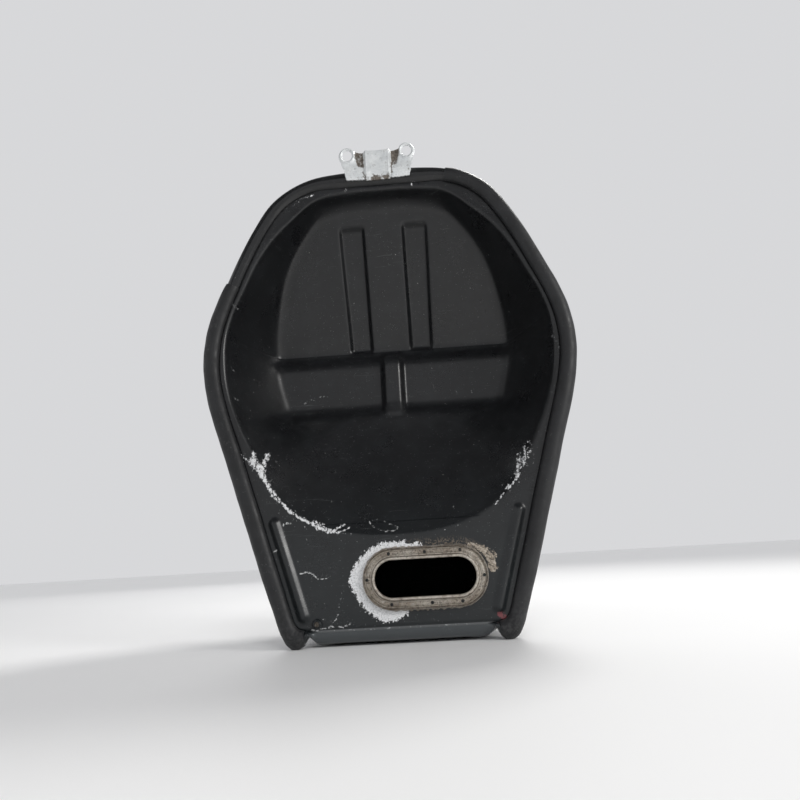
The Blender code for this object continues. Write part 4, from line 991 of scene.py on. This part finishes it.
def black_paint(name, worn=True, dust=1.0, base=(0.0052, 0.0055, 0.0062), rough=(0.25, 0.38), peel=0.10):
    m = Mat(name, rough=0.36, spec=0.5)
    warp = m.noise(60, 3, color=True)
    big = m.noise(9, 5, 0.6)
    mid = m.noise(55, 5, 0.6)
    grain = m.noise(900, 3, 0.6)
    col = m.ramp(big, [(0.3, base), (0.7, tuple(c * 1.45 for c in base))])
    # dull handling bloom
    bloom = m.ramp(mid, [(0.45, 0.0), (0.75, 1.0)])
    bloomf = m.math('MULTIPLY', bloom, 0.22 * dust)
    col = m.mix(bloomf, col, (0.022, 0.025, 0.027))
    # cooler, greyer tone towards the bottom, below about 0.17 m
    low = m.ramp(m.axis(2), [(0.05, 1.0), (0.17, 0.0)])
    col = m.mix(m.math('MULTIPLY', low, 0.35), col, (0.016, 0.022, 0.024))
    # dust specks in two sizes
    dots = m.ramp(m.voronoi(520), [(0.0, 1.0), (0.10, 1.0), (0.16, 0.0)])
    pick = m.ramp(m.noise(260, 2, 0.5), [(0.53, 0.0), (0.60, 1.0)])
    dots = m.math('MULTIPLY', dots, pick)
    dots = m.math('MULTIPLY', dots, 0.55 * dust)
    col = m.mix(dots, col, (0.30, 0.31, 0.31))
    spots = m.ramp(m.voronoi(140), [(0.0, 1.0), (0.055, 1.0), (0.08, 0.0)])
    pick2 = m.ramp(m.noise(70, 2, 0.5), [(0.62, 0.0), (0.66, 1.0)])
    spots = m.math('MULTIPLY', spots, pick2)
    spots = m.math('MULTIPLY', spots, 0.7 * dust)
    col = m.mix(spots, col, (0.42, 0.42, 0.40))
    # hairline scratches: stretched noise in two directions
    hair = None
    for rot, sc in ((0.35, 1.0), (-0.8, 1.3), (1.25, 0.9)):
        v = m.coords(scale=(26 * sc, 26 * sc, 900 * sc), rot=(0, rot, 0), warp=warp, amount=0.004)
        n = m.noise(1.0, 2, 0.5, vec=v)
        h = m.ramp(n, [(0.70, 0.0), (0.735, 1.0), (0.76, 0.0)])
        gate = m.ramp(m.noise(17 * sc, 2, 0.5, vec=m.coords(loc=(rot, 0.3, 1.1))), [(0.52, 0.0), (0.62, 1.0)])
        h = m.math('MULTIPLY', h, gate)
        hair = h if hair is None else m.math('MAXIMUM', hair, h)
    hair = m.math('MULTIPLY', hair, 0.20 * dust)
    col = m.mix(hair, col, (0.20, 0.21, 0.21))
    if worn:
        # painted floor reflection on the rear strip below the crease
        col = m.mix(m.attr("rear_strip_painted_reflection"), col, (0.062, 0.069, 0.073))
        # painted highlight along the crease above the rear bend
        col = m.mix(m.attr("crease_painted_highlight"), col, (0.22, 0.23, 0.235))
    rgh = m.ramp(m.noise(24, 5, 0.62), [(0.30, rough[0]), (0.72, rough[1])])
    height = m.math('MULTIPLY', m.noise(430, 2, 0.5), 1.0)
    if worn:
        breakup = m.noise(330, 6, 0.72, vec=m.coords(warp=warp, amount=0.002))
        streak = m.noise(1.0, 4, 0.7, vec=m.coords(scale=(420, 200, 150), rot=(0, 0.6, 0), warp=warp, amount=0.003))
        fray = m.noise(900, 4, 0.75)
        rag = m.math('ADD', m.math('MULTIPLY', breakup, 0.50),
                     m.math('ADD', m.math('MULTIPLY', streak, 0.30), m.math('MULTIPLY', fray, 0.20)))

        def cover(attr, lo, hi, amp=1.0):
            a = m.attr(attr)
            # threshold of attribute against ragged noise
            t = m.math('ADD', a, m.math('MULTIPLY', m.math('SUBTRACT', rag, 0.5), 5.5))
            r = m.ramp(t, [(lo, 0.0), (hi, 1.0)])
            return m.math('MULTIPLY', r, m.math('MULTIPLY', m.math('GREATER_THAN', a, 0.02), amp))
        scr = cover("scrape", 0.72, 0.90)
        fine = cover("fine", 0.60, 0.85, 0.8)
        deep = cover("deep", 0.70, 0.95, 0.5)
        strip = cover("strip", 0.36, 0.46)
        tan = cover("tan", 0.62, 0.85)
        speck = m.math('MULTIPLY', m.ramp(m.noise(620, 3, 0.6), [(0.50, 0.0), (0.58, 1.0)]), m.attr("speck"))
        speck = m.math('MULTIPLY', speck, 0.75)
        pink = cover("pink", 0.45, 0.7, 0.6)
        chalk = m.ramp(m.noise(210, 5, 0.7), [(0.3, (0.50, 0.50, 0.50)), (0.55, (0.74, 0.75, 0.76)), (0.8, (0.84, 0.85, 0.86))])
        brush = m.ramp(fray, [(0.36, (0.40, 0.41, 0.41)), (0.47, (0.70, 0.71, 0.72)), (0.7, (0.90, 0.90, 0.91))])
        col = m.mix(speck, col, (0.17, 0.135, 0.10))
        col = m.mix(tan, col, m.ramp(breakup, [(0.40, (0.10, 0.080, 0.062)), (0.50, (0.27, 0.225, 0.175)), (0.62, (0.50, 0.45, 0.38))]))
        col = m.mix(deep, col, (0.40, 0.41, 0.41))
        col = m.mix(fine, col, (0.66, 0.67, 0.67))
        col = m.mix(scr, col, chalk)
        col = m.mix(strip, col, brush)
        col = m.mix(pink, col, (0.30, 0.075, 0.085))
        bare = m.math('MAXIMUM', m.math('MAXIMUM', scr, strip), m.math('MAXIMUM', fine, tan))
        rgh = m.mixf(bare, rgh, 0.58)
        height = m.math('SUBTRACT', height, m.math('MULTIPLY', bare, 1.6))
    rgh2 = m.math('ADD', rgh, m.math('MULTIPLY', m.math('SUBTRACT', grain, 0.5), 0.10))
    m.set("Base Color", col)
    m.set("Roughness", rgh2)
    m.set("Normal", m.bump(height, peel, 0.00035))
    return m.m


def rubber(name):
    m = Mat(name, rough=0.55, spec=0.42)
    warp = m.noise(50, 3, color=True)
    n = m.noise(38, 5, 0.62)
    col = m.ramp(n, [(0.32, (0.0085, 0.0088, 0.0095)), (0.70, (0.0165, 0.017, 0.0185))])
    # grey scuffing in patches over the rubber
    sc = m.math('MULTIPLY', m.ramp(m.noise(330, 5, 0.7, vec=m.coords(warp=warp, amount=0.004)), [(0.57, 0.0), (0.66, 1.0)]),
                m.ramp(m.noise(16, 3, 0.6), [(0.50, 0.0), (0.62, 1.0)]))
    col = m.mix(m.math('MULTIPLY', sc, 0.35), col, (0.10, 0.10, 0.10))
    # worn ends at the lobes
    lobe = m.ramp(m.axis(2), [(0.0, 1.0), (0.055, 0.0)])
    lb = m.math('MULTIPLY', lobe, m.ramp(m.noise(260, 5, 0.7), [(0.46, 0.0), (0.60, 1.0)]))
    col = m.mix(m.math('MULTIPLY', lb, 0.22), col, (0.12, 0.118, 0.115))
    dust = m.math('MULTIPLY', m.ramp(m.voronoi(430), [(0.0, 1.0), (0.12, 1.0), (0.18, 0.0)]),
                  m.ramp(m.noise(190, 2), [(0.58, 0.0), (0.66, 1.0)]))
    col = m.mix(m.math('MULTIPLY', dust, 0.4), col, (0.30, 0.30, 0.29))
    m.set("Base Color", col)
    m.set("Roughness", m.ramp(m.noise(85, 4, 0.6), [(0.3, 0.40), (0.7, 0.62)]))
    m.set("Normal", m.bump(m.noise(620, 4, 0.65), 0.22, 0.0004))
    return m.m


def corroded_steel(name, dark=1.0, painted_lip_and_groove_light=False):
    m = Mat(name, rough=0.45, metal=0.85, spec=0.5)
    warp = m.noise(80, 3, color=True)
    n = m.noise(46, 6, 0.68)
    col = m.ramp(n, [(0.28, (0.17 * dark, 0.135 * dark, 0.105 * dark)), (0.46, (0.36 * dark, 0.315 * dark, 0.26 * dark)),
                     (0.60, (0.50 * dark, 0.46 * dark, 0.40 * dark)), (0.78, (0.66 * dark, 0.63 * dark, 0.58 * dark))])
    pits = m.ramp(m.noise(520, 5, 0.7, vec=m.coords(warp=warp, amount=0.002)), [(0.40, 1.0), (0.50, 0.0)])
    col = m.mix(m.math('MULTIPLY', pits, 0.85), col, (0.070, 0.052, 0.040))
    bloom = m.ramp(m.noise(190, 5, 0.7), [(0.56, 0.0), (0.70, 1.0)])
    col = m.mix(m.math('MULTIPLY', bloom, 0.45), col, (0.60, 0.58, 0.53))
    if painted_lip_and_groove_light:
        # painted shade: dark brown in the grooves and round the inner edge of the opening
        groove_shade_breakup = m.ramp(m.noise(310, 5, 0.7, vec=m.coords(loc=(0.7, 0, 0.2))), [(0.36, 0.25), (0.56, 1.0)])
        col = m.mix(m.math('MULTIPLY', m.math('MULTIPLY', m.attr("groove_painted_shade"), groove_shade_breakup), 0.95), col, (0.055, 0.042, 0.034))
        # painted highlight: pale lines along the rolled lips
        shine = m.ramp(m.noise(240, 5, 0.7), [(0.40, 0.1), (0.58, 1.0)])
        col = m.mix(m.math('MULTIPLY', m.math('MULTIPLY', m.attr("lip_painted_highlight"), shine), 0.80), col, (0.72, 0.68, 0.61))
    m.set("Base Color", col)
    met = m.mixf(m.math('MAXIMUM', pits, m.math('MULTIPLY', bloom, 0.8)), 0.85, 0.2)
    m.set("Metallic", met)
    m.set("Roughness", m.ramp(m.noise(120, 5, 0.6), [(0.3, 0.34), (0.7, 0.62)]))
    h = m.math('SUBTRACT', m.noise(700, 4, 0.7), m.math('MULTIPLY', pits, 0.9))
    m.set("Normal", m.bump(h, 0.4, 0.00035))
    return m.m


def worn_white(name):
    """Bracket: paint gone to a pale chalky zinc, with dark grime and painted shade in the hollows, along the pad edges
    and under the pad.
    """
    m = Mat(name, rough=0.42, metal=0.25, spec=0.5)
    warp = m.noise(120, 3, color=True)
    n = m.noise(170, 6, 0.7, vec=m.coords(warp=warp, amount=0.003))
    pale = m.ramp(m.noise(90, 4, 0.6), [(0.3, (0.58, 0.605, 0.615)), (0.7, (0.78, 0.80, 0.80))])
    fleck = m.ramp(m.noise(610, 4, 0.7), [(0.60, 0.0), (0.68, 1.0)])
    pale = m.mix(m.math('MULTIPLY', fleck, 0.6), pale, (0.86, 0.87, 0.88))
    stain = m.ramp(m.noise(260, 5, 0.72, vec=m.coords(loc=(0.2, 0, 0.4))), [(0.57, 0.0), (0.68, 1.0)])
    pale = m.mix(m.math('MULTIPLY', stain, 0.55), pale, (0.17, 0.16, 0.15))
    # dark grime mixed with painted shade where the web attribute is high
    web = m.attr("web")
    t = m.math('ADD', m.math('MULTIPLY', web, 0.62), m.math('MULTIPLY', m.math('SUBTRACT', n, 0.5), 2.2))
    grime_and_painted_shade = m.ramp(t, [(0.20, 0.0), (0.46, 1.0)])
    grime_and_shade_color = m.ramp(m.noise(420, 4, 0.7), [(0.3, (0.045, 0.038, 0.032)), (0.6, (0.19, 0.165, 0.14)), (0.8, (0.34, 0.31, 0.27))])
    col = m.mix(grime_and_painted_shade, pale, grime_and_shade_color)
    m.set("Base Color", col)
    m.set("Roughness", m.mixf(grime_and_painted_shade, 0.36, 0.7))
    m.set("Normal", m.bump(m.math('SUBTRACT', m.noise(500, 4, 0.65), m.math('MULTIPLY', grime_and_painted_shade, 0.8)), 0.3, 0.0004))
    return m.m


def alloy(name, color=(0.60, 0.60, 0.61), rough=(0.20, 0.36), brushed=True):
    m = Mat(name, rough=0.28, metal=0.95)
    v = m.coords(scale=(1, 1, 1), loc=(0, 0, -CAP_Z * MM))
    x, z = m.axis(0, v), m.axis(2, v)
    r = m.math('SQRT', m.math('ADD', m.math('MULTIPLY', x, x), m.math('MULTIPLY', z, z)))
    comb = m.node("ShaderNodeCombineXYZ")
    m.link(m.math('MULTIPLY', r, 2600.0), comb.inputs[0])
    ring = m.noise(1.0, 3, 0.6, vec=comb.outputs[0])
    col = m.ramp(m.noise(40, 4, 0.6), [(0.3, tuple(c * 0.86 for c in color)), (0.7, color)])
    sm = m.math('MULTIPLY', m.ramp(m.noise(230, 5, 0.7), [(0.58, 0.0), (0.68, 1.0)]), 0.35)
    col = m.mix(sm, col, tuple(c * 0.45 for c in color))
    m.set("Base Color", col)
    m.set("Roughness", m.ramp(m.noise(65, 5, 0.6), [(0.3, rough[0]), (0.7, rough[1])]))
    h = m.math('ADD', m.math('MULTIPLY', ring, 1.0 if brushed else 0.0), m.math('MULTIPLY', m.noise(900, 3, 0.6), 0.5))
    m.set("Normal", m.bump(h, 0.12, 0.0002))
    return m.m


def inner_steel(name):
    m = Mat(name, rough=0.5, metal=0.7)
    n = m.noise(34, 5, 0.65)
    col = m.ramp(n, [(0.3, (0.16, 0.155, 0.15)), (0.6, (0.30, 0.295, 0.285)), (0.8, (0.40, 0.37, 0.33))])
    rust = m.math('MULTIPLY', m.ramp(m.noise(150, 6, 0.7), [(0.56, 0.0), (0.68, 1.0)]), 0.6)
    col = m.mix(rust, col, (0.19, 0.10, 0.055))
    m.set("Base Color", col)
    m.set("Roughness", m.ramp(m.noise(90, 4), [(0.3, 0.35), (0.7, 0.6)]))
    m.set("Normal", m.bump(m.noise(400, 4, 0.6), 0.2, 0.0003))
    return m.m


def assign(ob, mat):
    ob.data.materials.clear()
    ob.data.materials.append(mat)


# ------------------------------------------------------------------ assembly
shell = make_shell()
pan = make_pan()
trim_r = make_trim("rubber_trim_right", "edge_trim_right", 6, 27, False)
trim_l = make_trim("rubber_trim_left", "edge_trim_left", 6, 22, True)
flange, sealant = make_pump()
strap = make_bracket()

for ob in (shell, pan):
    paint_attrs(ob)

PAINT_SHELL = black_paint("tank_skin_paint", worn=True, dust=0.7, base=(0.0050, 0.0052, 0.0056), rough=(0.15, 0.27), peel=0.07)
PAINT_PAN = black_paint("base_pan_paint", worn=True, dust=1.15)
PAINT_PLAIN = black_paint("bracket_black_paint", worn=False)
RUB = rubber("edge_rubber")
RING = corroded_steel("flange_steel", 1.04, painted_lip_and_groove_light=True)
SEALM = corroded_steel("sealant_residue", 0.9)
WHITE = worn_white("strap_worn_zinc")
ALU = alloy("cap_brushed_alloy")
LOCKM = alloy("lock_zinc", (0.52, 0.50, 0.46), (0.24, 0.42))
SCREWM = alloy("fastener_zinc", (0.55, 0.53, 0.47), (0.25, 0.40), brushed=False)
STEEL = inner_steel("inner_plain_steel")
NBR = rubber("seal_rubber_black")

assign(shell, PAINT_SHELL)
assign(pan, PAINT_PAN)
assign(trim_r, RUB)
assign(trim_l, RUB)
assign(flange, RING)
assign(sealant, SEALM)
assign(strap, WHITE)


def keep_node(node, mat):
    ob = NODES[node]
    ob.data.materials.clear()
    ob.data.materials.append(mat)
    return ob


keep_node("rear_mount_bracket", PAINT_PLAIN)
keep_node("drain_boss", PAINT_PLAIN)
keep_node("drain_tube", corroded_steel("drain_tube_steel", 0.22))
for n in ("pump_nut_ring", "filler_neck", "internal_baffle", "lid_plug"):
    keep_node(n, STEEL)
for n in ("cap_gasket", "lid_seal"):
    keep_node(n, NBR)
for n in ("cap_ring", "cap_lid", "keyhole_cover"):
    keep_node(n, ALU)
for n in ["cap_screw_%d" % k for k in range(1, 6)] + ["hinge_pin", "cover_rivet", "latch_bolt"]:
    keep_node(n, SCREWM)
keep_node("lock_barrel", LOCKM)


# ------------------------------------------------------------------ stage
def stage_material(name, color, rough):
    m = Mat(name, rough=rough, spec=0.35)
    n = m.noise(1.6, 4, 0.5)
    m.set("Base Color", m.ramp(n, [(0.3, tuple(c * 0.985 for c in color)), (0.7, color)]))
    return m.m


def make_stage():
    # wide flat floor in rings out to 30 m
    rings = [0.0, 0.2, 0.5, 1.0, 2.0, 4.0, 8.0, 16.0, 30.0]
    verts, faces = [(0, 0, 0)], []
    n = 64
    for r in rings[1:]:
        for k in range(n):
            a = 2 * math.pi * k / n
            verts.append((r * math.cos(a), r * math.sin(a), 0))
    for k in range(n):
        faces.append((0, 1 + k, 1 + (k + 1) % n))
    for q in range(len(rings) - 2):
        b = 1 + q * n
        for k in range(n):
            faces.append((b + k, b + n + k, b + n + (k + 1) % n, b + (k + 1) % n))
    me = bpy.data.meshes.new("floor")
    me.from_pydata(verts, [], faces)
    ob = bpy.data.objects.new("floor", me)
    bpy.context.scene.collection.objects.link(ob)
    me.materials.append(stage_material("pale_floor", (0.87, 0.87, 0.87), 0.6))


def area(name, loc, target, size, power, color=(1, 1, 1), size_y=None):
    li = bpy.data.lights.new(name, 'AREA')
    li.energy = power
    li.color = color
    li.size = size
    if size_y:
        li.shape = 'RECTANGLE'
        li.size_y = size_y
    ob = bpy.data.objects.new(name, li)
    bpy.context.scene.collection.objects.link(ob)
    ob.location = loc
    d = Vector(target) - Vector(loc)
    ob.rotation_euler = d.to_track_quat('-Z', 'Y').to_euler()
    return ob


def make_ceiling():
    """Grey ceiling card above and in front of the object, out of the picture."""
    n = 9
    verts, faces = [], []
    for j in range(n):
        for i in range(n):
            x, y = -2.4 + 4.8 * i / (n - 1), -3.0 + 4.1 * j / (n - 1)
            verts.append((x, y, 2.45 + 0.01 * math.sin(3 * x) * math.cos(2 * y)))
    me = bpy.data.meshes.new("ceiling_card")
    me.from_pydata(verts, [], grid_faces(n, n))
    ob = bpy.data.objects.new("ceiling_card", me)
    bpy.context.scene.collection.objects.link(ob)
    me.materials.append(stage_material("ceiling_grey", (0.16, 0.16, 0.165), 0.9))


make_stage()
make_ceiling()
area("key", (2.1, -1.45, 1.20), (0, 0, 0.25), 0.7, 24, (1.0, 0.99, 0.97))
area("top", (0.72, 0.70, 1.95), (0, 0, 0.3), 0.55, 22, (1.0, 0.99, 0.97), 0.4)
wash = area("floor_wash", (0.3, -2.0, 2.2), (0.1, -0.5, 0.0), 0.7, 15)
wash.visible_glossy = False
area("rear_soft", (-0.6, 2.4, 1.7), (0, 0, 0.3), 1.4, 9, (1.0, 1.0, 1.0))

wd = bpy.data.worlds.new("studio")
bpy.context.scene.world = wd
wd.use_nodes = True
bg = wd.node_tree.nodes["Background"]
bg.inputs[0].default_value = (0.975, 0.98, 1.0, 1)
bg.inputs[1].default_value = 0.70

# ------------------------------------------------------------------ camera
PITCH, YAW, ROLL = math.radians(15.0), math.radians(2.5), math.radians(3.25)
fwd = Vector((0, math.cos(PITCH), math.sin(PITCH)))
right = Vector((1, 0, 0))
up = Vector((0, -math.sin(PITCH), math.cos(PITCH)))
RZ = Matrix.Rotation(YAW, 3, 'Z')
fwd, right, up = RZ @ fwd, RZ @ right, RZ @ up
c, s = math.cos(ROLL), math.sin(ROLL)
right, up = c * right - s * up, s * right + c * up
cam = bpy.data.objects.new("camera", bpy.data.cameras.new("camera"))
bpy.context.scene.collection.objects.link(cam)
M = Matrix((right, up, -fwd)).transposed().to_4x4()
M.translation = Vector((0.038, -0.614 + Y_SHIFT * MM, 0.08))
cam.matrix_world = M
cam.data.sensor_width = 36.0
cam.data.lens = 590.0 / 800.0 * 36.0
cam.data.shift_y = 2.0 / 800.0
cam.data.clip_start, cam.data.clip_end = 0.01, 50
bpy.context.scene.camera = cam
bpy.context.scene.view_settings.view_transform = 'Standard'
